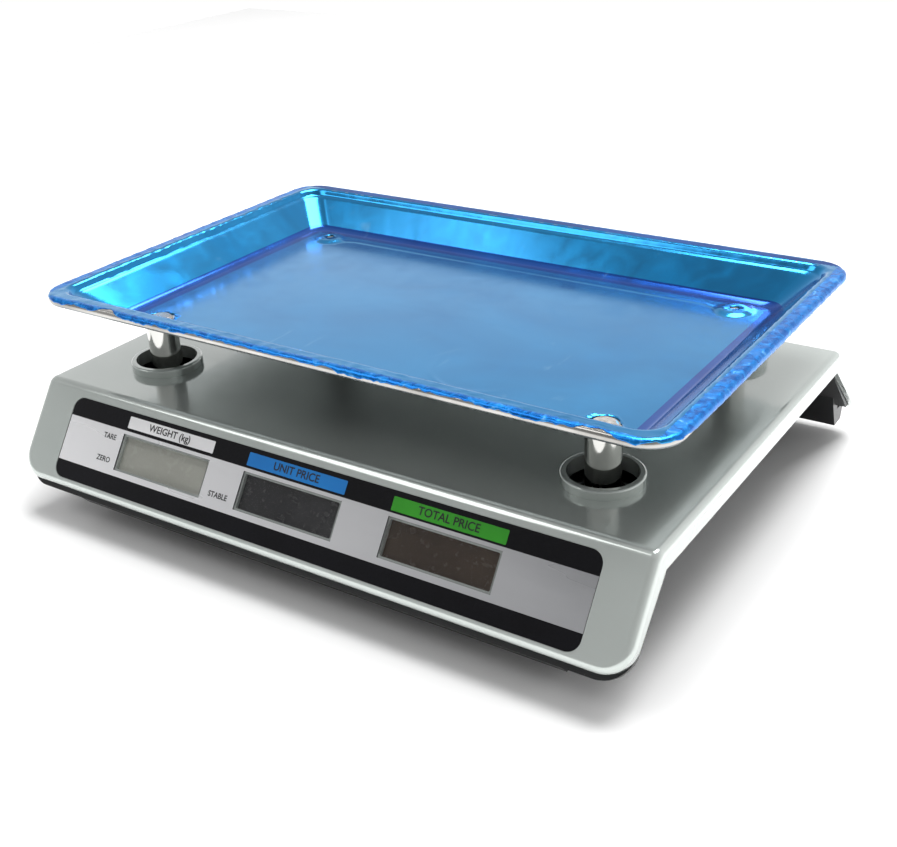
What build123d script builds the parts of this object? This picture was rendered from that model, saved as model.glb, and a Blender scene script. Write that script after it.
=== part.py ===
from build123d import *
import math
import os

# Retail price-computing scale.  Millimetres.  +Z is up, the customer's display faces -Y and
# the operator's keypad faces +Y.  The origin is on the counter, under the middle of the body.

# ------------------------------------------------------------------ driving dimensions
BODY_WIDTH = 330.0
TOP_Z = 62.0                      # height of the flat top of the cover
FRONT_CREASE_Y, FRONT_EDGE_Y, FRONT_EDGE_Z = -112.5, -141.0, 22.0
REAR_CREASE_Y, REAR_EDGE_Y, REAR_EDGE_Z = 95.5, 141.0, 15.5
COVER_WALL = 2.5
COVER_SKIRT = 10.0                # depth of the cover's side walls, square to its surface
FRONT_SKIRT = 5.6                 # the same at the lower end of the front panel
REAR_SKIRT = 6.2                  # and at the lower end of the rear panel, which ends level
SIDE_ROUND = 3.6                  # rounding between the surface and the side walls
CREASE_ROUND = 5.0
FRONT_CORNER, REAR_CORNER = 13.0, 9.0
BASE_WALL = 2.5
STRIP, STRIP_BEYOND = 2.2, 2.6    # thickness of the strip under the front panel, and its overhang
FIT_GAP = 0.3                     # gap between the cover and what it closes over
FLANGE_DEPTH = 7.4                # depth of the base's flange under the cover's surface

TRAY_WIDTH, TRAY_DEPTH = 332.0, 212.4
TRAY_Y = -5.8                     # middle of the tray
RIM_Z = 105.0
TRAY_SHEET = 1.0
BEAD_RADIUS = 2.5
RIM_CORNER = 17.0
# Upper surface of the pressing, as inset from the rim, depth under it and corner radius.
TRAY_RINGS = [
    (8.6, 0.0, 11.0),
    (10.4, 3.2, 10.5),
    (12.0, 4.0, 10.0),
    (24.5, 16.6, 9.0),
    (27.5, 18.0, 8.0),
]
FILM = 0.3                        # protective film on the tray

POST_X = 121.5
POST_FRONT_Y, POST_REAR_Y = -73.5, 62.0
POST_RADIUS, POST_WALL = 7.65, 1.2
POST_BOTTOM_Z = 49.0
COLLAR_BORE, COLLAR_RADIUS, COLLAR_HEIGHT = 15.0, 17.6, 4.2
RIVET_HEAD_RADIUS, RIVET_SHANK_RADIUS = 6.0, 3.0

UPPER_TUB_X, UPPER_TUB_Y0, UPPER_TUB_Y1, UPPER_TUB_Z = 137.0, -108.0, 92.0, 26.0
LOWER_TUB_X, LOWER_TUB_Y0, LOWER_TUB_Y1, LOWER_TUB_Z = 108.0, -118.0, 114.0, 8.0
FRONT_RIDGE_X, REAR_RIDGE_X, RIDGE_Z = 134.0, 157.0, 6.0

CELL_LENGTH, CELL_SIZE = 130.0, 22.0
CELL_BOTTOM_Z = 17.5
CELL_FIXED_XS, CELL_FREE_XS, CELL_SCREW_Y = (-58.0, -40.0), (40.0, 58.0), 6.0
CELL_SCREW_RADIUS, CELL_HOLE_RADIUS = 3.0, 3.1
SPIDER_Z, SPIDER_PLATE = 43.5, 6.0
STOP_X, STOP_GAP = 70.0, 0.9

FOOT_X, FOOT_FRONT_Y, FOOT_REAR_Y = 94.0, -94.0, 102.0
FOOT_PAD_RADIUS, FOOT_WHEEL_RADIUS, STUD_RADIUS = 12.0, 11.0, 4.0
RUN_FIT = 0.05                    # radial clearance of turning and sliding shafts

LABEL_TOP, LABEL_BOTTOM, LABEL_X0, LABEL_X1 = 5.1, 45.2, -142.0, 144.5
LABEL_DEPTH, LABEL_CORNER = 0.8, 6.0
WINDOW_WIDTH, WINDOW_TOP, WINDOW_BOTTOM = 54.6, 16.2, 33.9
WINDOW_XS = (-78.0, -3.0, 75.7)
LCD_FRONT = -COVER_WALL - 0.2     # faces of the display modules, square to the panel
LCD_BACK = LCD_FRONT - 3.0
BOARD_SHEET = 1.5
CUSTOMER_BOARD_BACK = BOARD_SHEET - LCD_BACK

KEY_WIDTH, KEY_HEIGHT, KEY_PITCH_X, KEY_PITCH_S = 15.0, 9.6, 20.0, 12.4
KEY_COLUMNS, KEY_ROWS, KEY_FIRST_S = 8, 2, 37.0
KEY_PROUD, KEY_TRAVEL = 1.6, 1.0
OPERATOR_TOP, OPERATOR_BOTTOM, OPERATOR_HALF = 5.0, 59.0, 143.0
OPERATOR_WINDOW_TOP, OPERATOR_WINDOW_BOTTOM = 10.5, 26.5
OPERATOR_WINDOW_XS = (-78.0, 0.0, 78.0)

DOOR_X, DOOR_Y, DOOR_WIDTH, DOOR_LENGTH = -53.0, 70.0, 84.0, 46.0
DOOR_LIP_RADIUS = 1.05            # the door is as thick as its hinge lip
SWITCH_Y, SWITCH_Z, SWITCH_LENGTH, SWITCH_HEIGHT = -40.0, 17.5, 19.0, 12.0
INLET_Y = 0.0

# ------------------------------------------------------------------ reference directions
front_run = Vector(0, FRONT_EDGE_Y - FRONT_CREASE_Y, FRONT_EDGE_Z - TOP_Z)
rear_run = Vector(0, REAR_EDGE_Y - REAR_CREASE_Y, REAR_EDGE_Z - TOP_Z)
front_down, rear_down = front_run.normalized(), rear_run.normalized()
front_out = Vector(0, front_down.Z, -front_down.Y)
rear_out = Vector(0, -rear_down.Z, rear_down.Y)

# Panel frames start at the crease: local -Y runs down the panel and local Z points out of it.
FRONT_PANEL = Plane(origin=(0, FRONT_CREASE_Y, TOP_Z), x_dir=(1, 0, 0), z_dir=front_out)
REAR_PANEL = Plane(origin=(0, REAR_CREASE_Y, TOP_Z), x_dir=(-1, 0, 0), z_dir=rear_out)


# ------------------------------------------------------------------ helpers
def block(x0, x1, y0, y1, z0, z1):
    """Box between two corners."""
    size = (x1 - x0, y1 - y0, z1 - z0)
    return Pos((x0 + x1) / 2, (y0 + y1) / 2, (z0 + z1) / 2) * Box(*size)


def rod(x, y, z0, z1, radius):
    """Upright cylinder."""
    return Pos(x, y, (z0 + z1) / 2) * Cylinder(radius, z1 - z0)


def join(shapes):
    """Union of a list of solids."""
    whole = shapes[0]
    for shape in shapes[1:]:
        whole = whole + shape
    return whole


def along_x(points, half_width):
    """Prism of a (y, z) outline, centred on X = 0."""
    outline = Polyline(*[(0, y, z) for y, z in points], close=True)
    return extrude(make_face(outline), amount=half_width, dir=(1, 0, 0), both=True)


def corner(crease_y, out, depth):
    """Where the top and a sloping panel meet, both set in by a depth."""
    z = TOP_Z - depth
    y = crease_y - (depth + out.Z * (z - TOP_Z)) / out.Y
    return (y, z)


def edge(point, down, out, depth, beyond=0.0):
    """Lower end of a panel, set in by a depth and run on beyond its end."""
    spot = Vector(0, *point) - out * depth + down * beyond
    return (spot.Y, spot.Z)


def front_edge(depth, beyond=0.0):
    return edge((FRONT_EDGE_Y, FRONT_EDGE_Z), front_down, front_out, depth, beyond)


def rear_edge(depth):
    return edge((REAR_EDGE_Y, REAR_EDGE_Z), rear_down, rear_out, depth)


def rear_end(depth, above=0.0):
    """Lower end of the rear panel, set in by a depth, cut level at a height over its edge."""
    y = REAR_EDGE_Y - (above * rear_run.Y / -rear_run.Z) - depth / rear_out.Y
    return (y, REAR_EDGE_Z + above)


def bent_plate(near, far, half_width, front_far, rear_far, front_beyond=0.0, rear_above=0.0,
               square_rear=False):
    """Plate that follows the front panel, the top and the rear panel between two depths.

    Its front end is square to the panel.  Its rear end is level, or square on request.
    """
    rear = [rear_end(near, rear_above), rear_end(rear_far, rear_above)]
    if square_rear:
        rear = [rear_edge(near), rear_edge(rear_far)]
    points = [
        front_edge(near, front_beyond),
        corner(FRONT_CREASE_Y, front_out, near),
        corner(REAR_CREASE_Y, rear_out, near),
        *rear,
        corner(REAR_CREASE_Y, rear_out, far),
        corner(FRONT_CREASE_Y, front_out, far),
        front_edge(front_far, front_beyond),
    ]
    return along_x(points, half_width)


def slab(panel, x, s, width, height, low, high, radius=1.0):
    """Rounded plate on a panel: centre x, distance s down from the crease, outward span."""
    sketch = RectangleRounded(width, height, radius)
    return panel * (Pos(x, -s, low) * extrude(sketch, amount=high - low))


def posts(shape_at):
    """The same shape at the four tray posts."""
    spots = [(x, y) for x in (-POST_X, POST_X) for y in (POST_FRONT_Y, POST_REAR_Y)]
    return [shape_at(x, y) for x, y in spots]


def cable(points, radius, bend):
    """Round cable along straight runs joined by arcs."""
    path = FilletPolyline(*points, radius=bend)
    start = Plane(origin=points[0], z_dir=Vector(*points[1]) - Vector(*points[0]))
    return sweep(start * Circle(radius), path=path)


def save(node, shape):
    shape.label = node
    export_step(shape, f"parts/{node}.step")


# ------------------------------------------------------------------ tray
def ring(inset, depth, radius, lift=0.0):
    sketch = RectangleRounded(TRAY_WIDTH - 2 * inset, TRAY_DEPTH - 2 * inset, radius)
    return Pos(0, TRAY_Y, RIM_Z - depth + lift) * sketch


def basin(lift):
    """Solid that fills the tray up to its surface moved by a lift."""
    rings = [ring(*values, lift=lift) for values in TRAY_RINGS]
    return join([loft([a, b], ruled=True) for a, b in zip(rings, rings[1:])])


def flange(low, high, inset):
    sketch = RectangleRounded(TRAY_WIDTH - 2 * inset, TRAY_DEPTH - 2 * inset, RIM_CORNER - inset)
    return Pos(0, TRAY_Y, RIM_Z + low) * extrude(sketch, amount=high - low)


def weighing_tray():
    """Pressed stainless tray with a rolled bead around its rim."""
    outline = RectangleRounded(
        TRAY_WIDTH - 2 * BEAD_RADIUS, TRAY_DEPTH - 2 * BEAD_RADIUS, RIM_CORNER - BEAD_RADIUS
    )
    path = (Pos(0, TRAY_Y, RIM_Z - BEAD_RADIUS) * outline).wire()
    section = Plane(origin=path @ 0, z_dir=path % 0) * Circle(BEAD_RADIUS)
    bead = sweep(section, path=path)
    body = flange(-TRAY_SHEET, 0, BEAD_RADIUS) + basin(-TRAY_SHEET) + bead - basin(0)
    for hole in posts(lambda x, y: rod(x, y, RIM_Z - 25, RIM_Z, RIVET_SHANK_RADIUS)):
        body = body - hole
    return body


def protective_film():
    """Peel-off film that lies on the whole upper surface of the tray, open round the rivets."""
    inset = BEAD_RADIUS
    skin = flange(0, FILM, inset) + basin(0) - basin(FILM)
    for hole in posts(lambda x, y: rod(x, y, RIM_Z - 25, RIM_Z, RIVET_HEAD_RADIUS + 0.8)):
        skin = skin - hole
    return skin


FLOOR_Z = RIM_Z - TRAY_RINGS[-1][1]
POST_TOP_Z = FLOOR_Z - TRAY_SHEET


def tray_post(x, y):
    tube = rod(x, y, POST_BOTTOM_Z, POST_TOP_Z, POST_RADIUS)
    bore = rod(x, y, POST_BOTTOM_Z, POST_TOP_Z - 4, POST_RADIUS - POST_WALL)
    return tube - bore - rod(x, y, POST_TOP_Z - 5, POST_TOP_Z, RIVET_SHANK_RADIUS)


def tray_rivet(x, y):
    head = Pos(x, y, FLOOR_Z) * Cone(RIVET_HEAD_RADIUS, RIVET_HEAD_RADIUS - 1.2, 1.0,
                                     align=(Align.CENTER, Align.CENTER, Align.MIN))
    shank = rod(x, y, POST_TOP_Z - 5, FLOOR_Z, RIVET_SHANK_RADIUS)
    upset = rod(x, y, POST_TOP_Z - 5.5, POST_TOP_Z - 4, RIVET_SHANK_RADIUS + 1.6)
    return head + shank + (upset - rod(x, y, POST_TOP_Z - 4, POST_TOP_Z, 20))


# ------------------------------------------------------------------ weighing platform
CUP_RADIUS, CUP_BORE, CUP_TOP_Z = 12.6, 10.6, 56.0


def load_spider():
    """Cast cross that carries the four post cups from the free end of the load cell."""
    plate_top = SPIDER_Z + SPIDER_PLATE
    parts = [block(-28, 68, TRAY_Y - 22, TRAY_Y + 22, SPIDER_Z, plate_top)]
    for x, y in posts(lambda x, y: (x, y)):
        length = math.hypot(x, y - TRAY_Y)
        turn = math.degrees(math.atan2(y - TRAY_Y, x))
        web = Pos(length / 2, 0, 0) * (
            Box(length, 16, SPIDER_PLATE) + Pos(0, 0, SPIDER_PLATE / 2 + 1.5) * Box(length, 4, 3)
        )
        parts.append(Pos(0, TRAY_Y, SPIDER_Z + SPIDER_PLATE / 2) * Rot(0, 0, turn) * web)
        parts.append(rod(x, y, SPIDER_Z, CUP_TOP_Z, CUP_RADIUS))
    body = join(parts)
    for hole in posts(lambda x, y: rod(x, y, SPIDER_Z + 3.5, CUP_TOP_Z + 1, CUP_BORE)):
        body = body - hole
    for hole in cell_holes(CELL_FREE_XS, SPIDER_Z - 1, plate_top + 4, CELL_HOLE_RADIUS):
        body = body - hole
    return body


def post_bush(x, y):
    """Rubber bush that seats one tray post in its cup."""
    body = rod(x, y, SPIDER_Z + 3.5, CUP_TOP_Z + 0.6, CUP_BORE)
    return body - rod(x, y, POST_BOTTOM_Z, CUP_TOP_Z + 1, POST_RADIUS + RUN_FIT)


def upper_spacer():
    body = block(34, 64, TRAY_Y - 11, TRAY_Y + 11, CELL_BOTTOM_Z + CELL_SIZE, SPIDER_Z)
    for hole in cell_holes(CELL_FREE_XS, CELL_BOTTOM_Z, SPIDER_Z + 1, CELL_HOLE_RADIUS):
        body = body - hole
    return body


def cell_holes(xs, z0, z1, radius):
    return [rod(x, TRAY_Y + y, z0, z1, radius) for x in xs
            for y in (-CELL_SCREW_Y, CELL_SCREW_Y)]


def upper_cell_screws():
    """Four cap screws down through the spider and the spacer."""
    top = SPIDER_Z + SPIDER_PLATE
    shanks = cell_holes(CELL_FREE_XS, SPIDER_Z - 3.6, top, CELL_SCREW_RADIUS)
    heads = cell_holes(CELL_FREE_XS, top, top + 4, 4.6)
    sockets = cell_holes(CELL_FREE_XS, top + 2, top + 5, 2.2)
    return Compound([a + b - c for a, b, c in zip(shanks, heads, sockets)])


# ------------------------------------------------------------------ load cell and its seat
def load_cell():
    """Single-point aluminium beam with the two-lobed window that makes it flex."""
    top = CELL_BOTTOM_Z + CELL_SIZE
    half = CELL_LENGTH / 2
    body = block(-half, half, TRAY_Y - 11, TRAY_Y + 11, CELL_BOTTOM_Z, top)
    middle = (CELL_BOTTOM_Z + top) / 2
    for x in (-16, 16):
        lobe = Pos(x, TRAY_Y, middle) * Rot(90, 0, 0) * Cylinder(8.4, CELL_SIZE + 2)
        body = body - lobe
    body = body - block(-16, 16, TRAY_Y - 12, TRAY_Y + 12, middle - 4, middle + 4)
    for hole in cell_holes(CELL_FIXED_XS, CELL_BOTTOM_Z - 1, CELL_BOTTOM_Z + 12, CELL_SCREW_RADIUS):
        body = body - hole
    return body


def bearing_plate():
    """Steel plate on the tub floor, with the raised pad that the fixed cell end sits on."""
    floor = LOWER_TUB_Z + BASE_WALL
    body = block(-78, 42, TRAY_Y - 26, TRAY_Y + 26, floor, floor + 3)
    body = body + block(-64, -34, TRAY_Y - 11, TRAY_Y + 11, floor + 3, CELL_BOTTOM_Z)
    for hole in cell_holes(CELL_FIXED_XS, 0, CELL_BOTTOM_Z + 1, CELL_HOLE_RADIUS):
        body = body - hole
    return body


def lower_cell_screws():
    """Four cap screws up through the tub floor and the bearing plate."""
    shanks = cell_holes(CELL_FIXED_XS, LOWER_TUB_Z, CELL_BOTTOM_Z + 10, CELL_SCREW_RADIUS)
    heads = cell_holes(CELL_FIXED_XS, LOWER_TUB_Z - 2.6, LOWER_TUB_Z, 4.8)
    sockets = cell_holes(CELL_FIXED_XS, LOWER_TUB_Z - 3, LOWER_TUB_Z - 1, 2.2)
    return Compound([a + b - c for a, b, c in zip(shanks, heads, sockets)])


def stop_spots():
    rise_rear = (POST_REAR_Y - TRAY_Y) / POST_X * STOP_X
    rise_front = (POST_FRONT_Y - TRAY_Y) / POST_X * STOP_X
    return [(x, TRAY_Y + rise) for x in (-STOP_X, STOP_X) for rise in (rise_front, rise_rear)]


def overload_stops():
    """Four set screws with lock nuts that the spider lands on when it is overloaded."""
    stops = []
    for x, y in stop_spots():
        stem = rod(x, y, 22, SPIDER_Z - STOP_GAP, 2.5)
        nut = Pos(x, y, 34.0) * extrude(RegularPolygon(4.6, 6), amount=3)
        stops.append(stem + nut)
    return Compound(stops)


# ------------------------------------------------------------------ cover
def label_recess():
    width = LABEL_X1 - LABEL_X0
    middle = (LABEL_X0 + LABEL_X1) / 2
    s = (LABEL_TOP + LABEL_BOTTOM) / 2
    return slab(FRONT_PANEL, middle, s, width, LABEL_BOTTOM - LABEL_TOP, -LABEL_DEPTH, 3,
                LABEL_CORNER)


def operator_recess(low, high, margin=0.0):
    s = (OPERATOR_TOP + OPERATOR_BOTTOM) / 2
    height = OPERATOR_BOTTOM - OPERATOR_TOP - 2 * margin
    width = 2 * (OPERATOR_HALF - margin)
    return slab(REAR_PANEL, 0, s, width, height, low, high, LABEL_CORNER - margin)


def key_spots():
    spots = []
    for row in range(KEY_ROWS):
        for column in range(KEY_COLUMNS):
            x = (column - (KEY_COLUMNS - 1) / 2) * KEY_PITCH_X
            spots.append((x, KEY_FIRST_S + row * KEY_PITCH_S))
    return spots


def front_windows(low, high, shrink):
    s = (WINDOW_TOP + WINDOW_BOTTOM) / 2
    size = (WINDOW_WIDTH - 2 * shrink, WINDOW_BOTTOM - WINDOW_TOP - 2 * shrink)
    return [slab(FRONT_PANEL, x, s, *size, low, high, 0.6) for x in WINDOW_XS]


def operator_windows(low, high, shrink):
    s = (OPERATOR_WINDOW_TOP + OPERATOR_WINDOW_BOTTOM) / 2
    height = OPERATOR_WINDOW_BOTTOM - OPERATOR_WINDOW_TOP - 2 * shrink
    size = (WINDOW_WIDTH - 2 * shrink, height)
    return [slab(REAR_PANEL, x, s, *size, low, high, 0.6) for x in OPERATOR_WINDOW_XS]


def key_holes(low, high, grow):
    size = (KEY_WIDTH + 2 * grow, KEY_HEIGHT + 2 * grow)
    return [slab(REAR_PANEL, x, s, *size, low, high, 1.6) for x, s in key_spots()]


def near(edge_, axis, value, limit=0.5):
    return abs(getattr(edge_.center(), axis) - value) < limit


def top_cover():
    """Bent cover: customer panel, flat top and operator panel in one moulding."""
    half = BODY_WIDTH / 2
    shell = bent_plate(0, COVER_SKIRT, half, FRONT_SKIRT, REAR_SKIRT, square_rear=True)
    low_front = [e for e in shell.edges() if near(e, "Y", FRONT_EDGE_Y, 4) and abs(e.center().X) > 164]
    low_front = [e for e in low_front if e.length < 9]
    shell = fillet(low_front, FRONT_CORNER)
    low_rear = [e for e in shell.edges() if e.center().Y > 134 and abs(e.center().X) > 164]
    low_rear = [e for e in low_rear if abs(e.length - REAR_SKIRT) < 0.5]
    shell = fillet(low_rear, REAR_CORNER)
    creases = [e for e in shell.edges() if abs(e.center().Z - TOP_Z) < 0.01 and e.length > 300]
    shell = fillet(creases, CREASE_ROUND)
    rim = ShapeList()
    for e in shell.edges():
        middle = e @ 0.5
        if abs(abs(middle.X) - half) < 12 and on_surface(e @ 0) and on_surface(e @ 1):
            if on_surface(middle):
                rim.append(e)
        elif abs(middle.X) < 1 and e.length > 290 and on_surface(middle) and middle.Z < 30:
            rim.append(e)
    shell = fillet(rim, SIDE_ROUND)
    shell = shell - block(-half, half, REAR_CREASE_Y, REAR_EDGE_Y + 5, 0, REAR_EDGE_Z)
    inner = bent_plate(COVER_WALL, 30, half - COVER_WALL, 30, 30, -COVER_WALL, COVER_WALL)
    for trim in corner_trims(half - COVER_WALL, -COVER_WALL, FRONT_CORNER - COVER_WALL, -31, 3):
        inner = inner - trim
    shell = shell - inner
    for x, y in posts(lambda x, y: (x, y)):
        collar = rod(x, y, TOP_Z - COVER_WALL, TOP_Z + COLLAR_HEIGHT, COLLAR_RADIUS)
        top_edge = [e for e in collar.edges() if near(e, "Z", TOP_Z + COLLAR_HEIGHT)]
        shell = shell + fillet(top_edge, 0.9)
    for x, y in posts(lambda x, y: (x, y)):
        shell = shell - rod(x, y, TOP_Z - 10, TOP_Z + 20, COLLAR_BORE)
    shell = shell - label_recess() - operator_recess(-LABEL_DEPTH, 3)
    cuts = front_windows(-6, 3, 1.0) + operator_windows(-6, 3, 1.0) + key_holes(-6, 3, 0.35)
    for cut in cuts:
        shell = shell - cut
    shell = shell - rod(LEVEL_X, LEVEL_Y, TOP_Z - 10, TOP_Z + 3, LEVEL_RADIUS + 0.1)
    for x, y in cover_screw_spots():
        shell = shell + (rod(x, y, TOP_Z - 15, TOP_Z - 1, 3.6) - rod(x, y, TOP_Z - 16, TOP_Z - 4, 1.5))
    return shell


def on_surface(point):
    """True on the outer surface of the front panel, the top or the rear panel."""
    front = (point - Vector(0, FRONT_CREASE_Y, TOP_Z)).dot(front_out)
    rear = (point - Vector(0, REAR_CREASE_Y, TOP_Z)).dot(rear_out)
    highest = max(front, rear, point.Z - TOP_Z)
    return highest > -1.6


LEVEL_X, LEVEL_Y, LEVEL_RADIUS = -62.0, 80.0, 7.0


def spirit_level():
    """Round level vial set in the cover, under the rear of the tray."""
    body = rod(LEVEL_X, LEVEL_Y, TOP_Z - 7, TOP_Z + 0.4, LEVEL_RADIUS)
    return body + rod(LEVEL_X, LEVEL_Y, TOP_Z - 5.5, TOP_Z - COVER_WALL - 0.01, LEVEL_RADIUS + 1.4)


def cover_screw_spots():
    return [(x, y) for x in (-128.0, 128.0) for y in (-98.0, -6.0, 84.0)]


# ------------------------------------------------------------------ base
def corner_trims(half_width, beyond, radius, low, high):
    """Stock outside the rounded lower corners of a plate that follows the front panel."""
    x, s = half_width - radius, front_run.length + beyond - radius
    trims = []
    for side in (-1, 1):
        square = slab(FRONT_PANEL, side * (x + radius), s + radius, 2 * radius, 2 * radius, low, high)
        drum = slab(FRONT_PANEL, side * x, s, 2 * radius, 2 * radius, low - 1, high + 1, radius - 0.01)
        trims.append(square - drum)
    return trims


def front_strip():
    """Strip of the base that shows round the lower end of the front panel, under the cover."""
    near_end, near_crease = FRONT_SKIRT + FIT_GAP, COVER_SKIRT + FIT_GAP
    plate = along_x(
        [front_edge(near_end, STRIP_BEYOND), corner(FRONT_CREASE_Y, front_out, near_crease),
         corner(FRONT_CREASE_Y, front_out, near_crease + STRIP),
         front_edge(near_end + STRIP, STRIP_BEYOND)],
        BODY_WIDTH / 2 - 0.6,
    )
    for trim in corner_trims(BODY_WIDTH / 2 - 0.6, STRIP_BEYOND, FRONT_CORNER + 1.0, -30, 3):
        plate = plate - trim
    web = along_x(
        [front_edge(near_end + 1.5, -1), corner(FRONT_CREASE_Y, front_out, near_crease - 1.5),
         corner(FRONT_CREASE_Y, front_out, near_crease + STRIP),
         front_edge(near_end + STRIP + 0.4, -1)],
        BODY_WIDTH / 2 - COVER_WALL - FIT_GAP,
    )
    window = along_x(
        [front_edge(0, -4), corner(FRONT_CREASE_Y, front_out, 0),
         corner(FRONT_CREASE_Y, front_out, 20), front_edge(20, -4)],
        BODY_WIDTH / 2 - 15,
    )
    for trim in corner_trims(BODY_WIDTH / 2 - 0.6, STRIP_BEYOND, FRONT_CORNER + 1.5, -30, 3):
        web = web - trim
    return plate + web - window


def base_tub():
    """Lower moulding: stepped tub between a front and a rear skid, under a bent flange."""
    t = BASE_WALL
    side = BODY_WIDTH / 2 - COVER_WALL - FIT_GAP
    outer = [
        bent_plate(FLANGE_DEPTH, COVER_SKIRT, side, 9.6, 9.6, -2.8, 3.0),
        block(-UPPER_TUB_X, UPPER_TUB_X, UPPER_TUB_Y0, UPPER_TUB_Y1, UPPER_TUB_Z,
              TOP_Z - FLANGE_DEPTH),
        block(-LOWER_TUB_X, LOWER_TUB_X, LOWER_TUB_Y0, LOWER_TUB_Y1, LOWER_TUB_Z,
              UPPER_TUB_Z + 4),
        along_x([front_edge(FLANGE_DEPTH + 0.4, 2), (-127, RIDGE_Z), (-108, RIDGE_Z), (-104, 30),
                 front_edge(FLANGE_DEPTH, -30)], FRONT_RIDGE_X),
        along_x([rear_end(FLANGE_DEPTH, 3), (127.7, 15.0), (138.5, 15.0), (135.5, RIDGE_Z),
                 (126, RIDGE_Z), (114, 34), rear_end(FLANGE_DEPTH, 24)], REAR_RIDGE_X),
    ]
    inner = [
        block(t - UPPER_TUB_X, UPPER_TUB_X - t, UPPER_TUB_Y0 + t, UPPER_TUB_Y1 - t,
              UPPER_TUB_Z + t, TOP_Z),
        block(t - LOWER_TUB_X, LOWER_TUB_X - t, LOWER_TUB_Y0 + t, LOWER_TUB_Y1 - t,
              LOWER_TUB_Z + t, TOP_Z),
        along_x([(-134, 20), (-126, RIDGE_Z + t), (-111, RIDGE_Z + t), (-107, 32),
                 (-112, 60), (-122, 60)], FRONT_RIDGE_X - t),
        along_x([(122.5, 20), (129.5, 20), (112, 60), (104, 50), (116.5, 34.5)],
                REAR_RIDGE_X - t),
    ]
    body = join(outer)
    for hollow in inner:
        body = body - hollow
    for trim in corner_trims(side, 0.0, FRONT_CORNER, -20, 3):
        body = body - trim
    body = body + front_strip()
    floor = LOWER_TUB_Z + t
    for x, y in foot_spots():
        body = body + rod(x, y, LOWER_TUB_Z, LOWER_TUB_Z + 16, 9.0)
    for x, y in foot_spots():
        body = body - rod(x, y, LOWER_TUB_Z - 1, LOWER_TUB_Z + 17, 6.0)
    for x, y in stop_spots():
        body = body + rod(x, y, LOWER_TUB_Z, 34, 5.0)
    for x, y in stop_spots():
        body = body - rod(x, y, 22, 35, 2.5)
    for x, y in cover_screw_spots():
        z0 = UPPER_TUB_Z
        body = body + rod(x, y, z0, TOP_Z - 15.4, 4.6) - rod(x, y, z0 + 6, TOP_Z, 1.9)
        body = body - rod(x, y, z0 - 1, z0 + 6, 3.4)
    for x, y in board_spots():
        body = body + rod(x, y, floor - 1, BOARD_Z, 3.0)
    for hole in cell_holes(CELL_FIXED_XS, LOWER_TUB_Z - 1, floor + 1, CELL_HOLE_RADIUS):
        body = body - hole
    body = body - block(*door_box(0.3), LOWER_TUB_Z - 1, floor + 1)
    # Ledges that the battery stands on, over the door.
    for x in (DOOR_X - DOOR_WIDTH / 2 - 2.5, DOOR_X + DOOR_WIDTH / 2 + 2.5):
        body = body + block(x - 2, x + 2, DOOR_Y - 20, DOOR_Y + 20, LOWER_TUB_Z, BATTERY_Z)
    half = (SWITCH_LENGTH / 2, SWITCH_HEIGHT / 2)
    body = body - block(-LOWER_TUB_X - 1, -LOWER_TUB_X + 5, SWITCH_Y - half[0], SWITCH_Y + half[0],
                        SWITCH_Z - half[1], SWITCH_Z + half[1])
    body = body - Pos(-LOWER_TUB_X, INLET_Y, SWITCH_Z) * Rot(0, 90, 0) * Cylinder(5.5, 12)
    return body


def cover_screws():
    """Six self-tapping screws up through the tub's step into the cover's bosses."""
    screws = []
    for x, y in cover_screw_spots():
        head = rod(x, y, UPPER_TUB_Z + 3.2, UPPER_TUB_Z + 6, 3.2)
        stem = rod(x, y, UPPER_TUB_Z + 6, TOP_Z - 6, 1.5)
        slot = block(x - 2, x + 2, y - 0.4, y + 0.4, UPPER_TUB_Z + 3, UPPER_TUB_Z + 4)
        screws.append(head + stem - slot)
    return Compound(screws)


# ------------------------------------------------------------------ feet
def foot_spots():
    return [(x, y) for y in (FOOT_FRONT_Y, FOOT_REAR_Y) for x in (-FOOT_X, FOOT_X)]


def foot_inserts():
    """Brass threaded inserts in the base."""
    bodies = []
    for x, y in foot_spots():
        insert = rod(x, y, LOWER_TUB_Z + 1, LOWER_TUB_Z + 15, 6.0)
        bodies.append(insert - rod(x, y, LOWER_TUB_Z, LOWER_TUB_Z + 17, STUD_RADIUS + RUN_FIT))
    return Compound(bodies)


def foot_screw(x, y):
    """Levelling screw: finger wheel, threaded stud and the ball that the pad turns on."""
    wheel = rod(x, y, 4.2, 7.4, FOOT_WHEEL_RADIUS)
    for step in range(12):
        angle = math.radians(30 * step)
        notch_x = x + FOOT_WHEEL_RADIUS * math.cos(angle)
        notch_y = y + FOOT_WHEEL_RADIUS * math.sin(angle)
        wheel = wheel - rod(notch_x, notch_y, 4, 8, 1.3)
    return wheel + rod(x, y, 7.4, 22.0, STUD_RADIUS) + rod(x, y, 2.6, 4.2, 3.6)


def foot_pad(x, y):
    body = Pos(x, y, 0) * Cone(FOOT_PAD_RADIUS, FOOT_PAD_RADIUS - 1.2, 4.0,
                               align=(Align.CENTER, Align.CENTER, Align.MIN))
    return body - rod(x, y, 2.4, 5.0, 3.6 + RUN_FIT)


# ------------------------------------------------------------------ customer display
def customer_overlay():
    """Printed fascia in the front recess."""
    width = LABEL_X1 - LABEL_X0 - 0.4
    height = LABEL_BOTTOM - LABEL_TOP - 0.4
    s = (LABEL_TOP + LABEL_BOTTOM) / 2
    body = slab(FRONT_PANEL, (LABEL_X0 + LABEL_X1) / 2, s, width, height, -LABEL_DEPTH, -0.3,
                LABEL_CORNER - 0.2)
    for cut in front_windows(-2, 1, 0):
        body = body - cut
    return body


def customer_windows():
    return Compound(front_windows(-LABEL_DEPTH, -0.25, 0.05))


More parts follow.
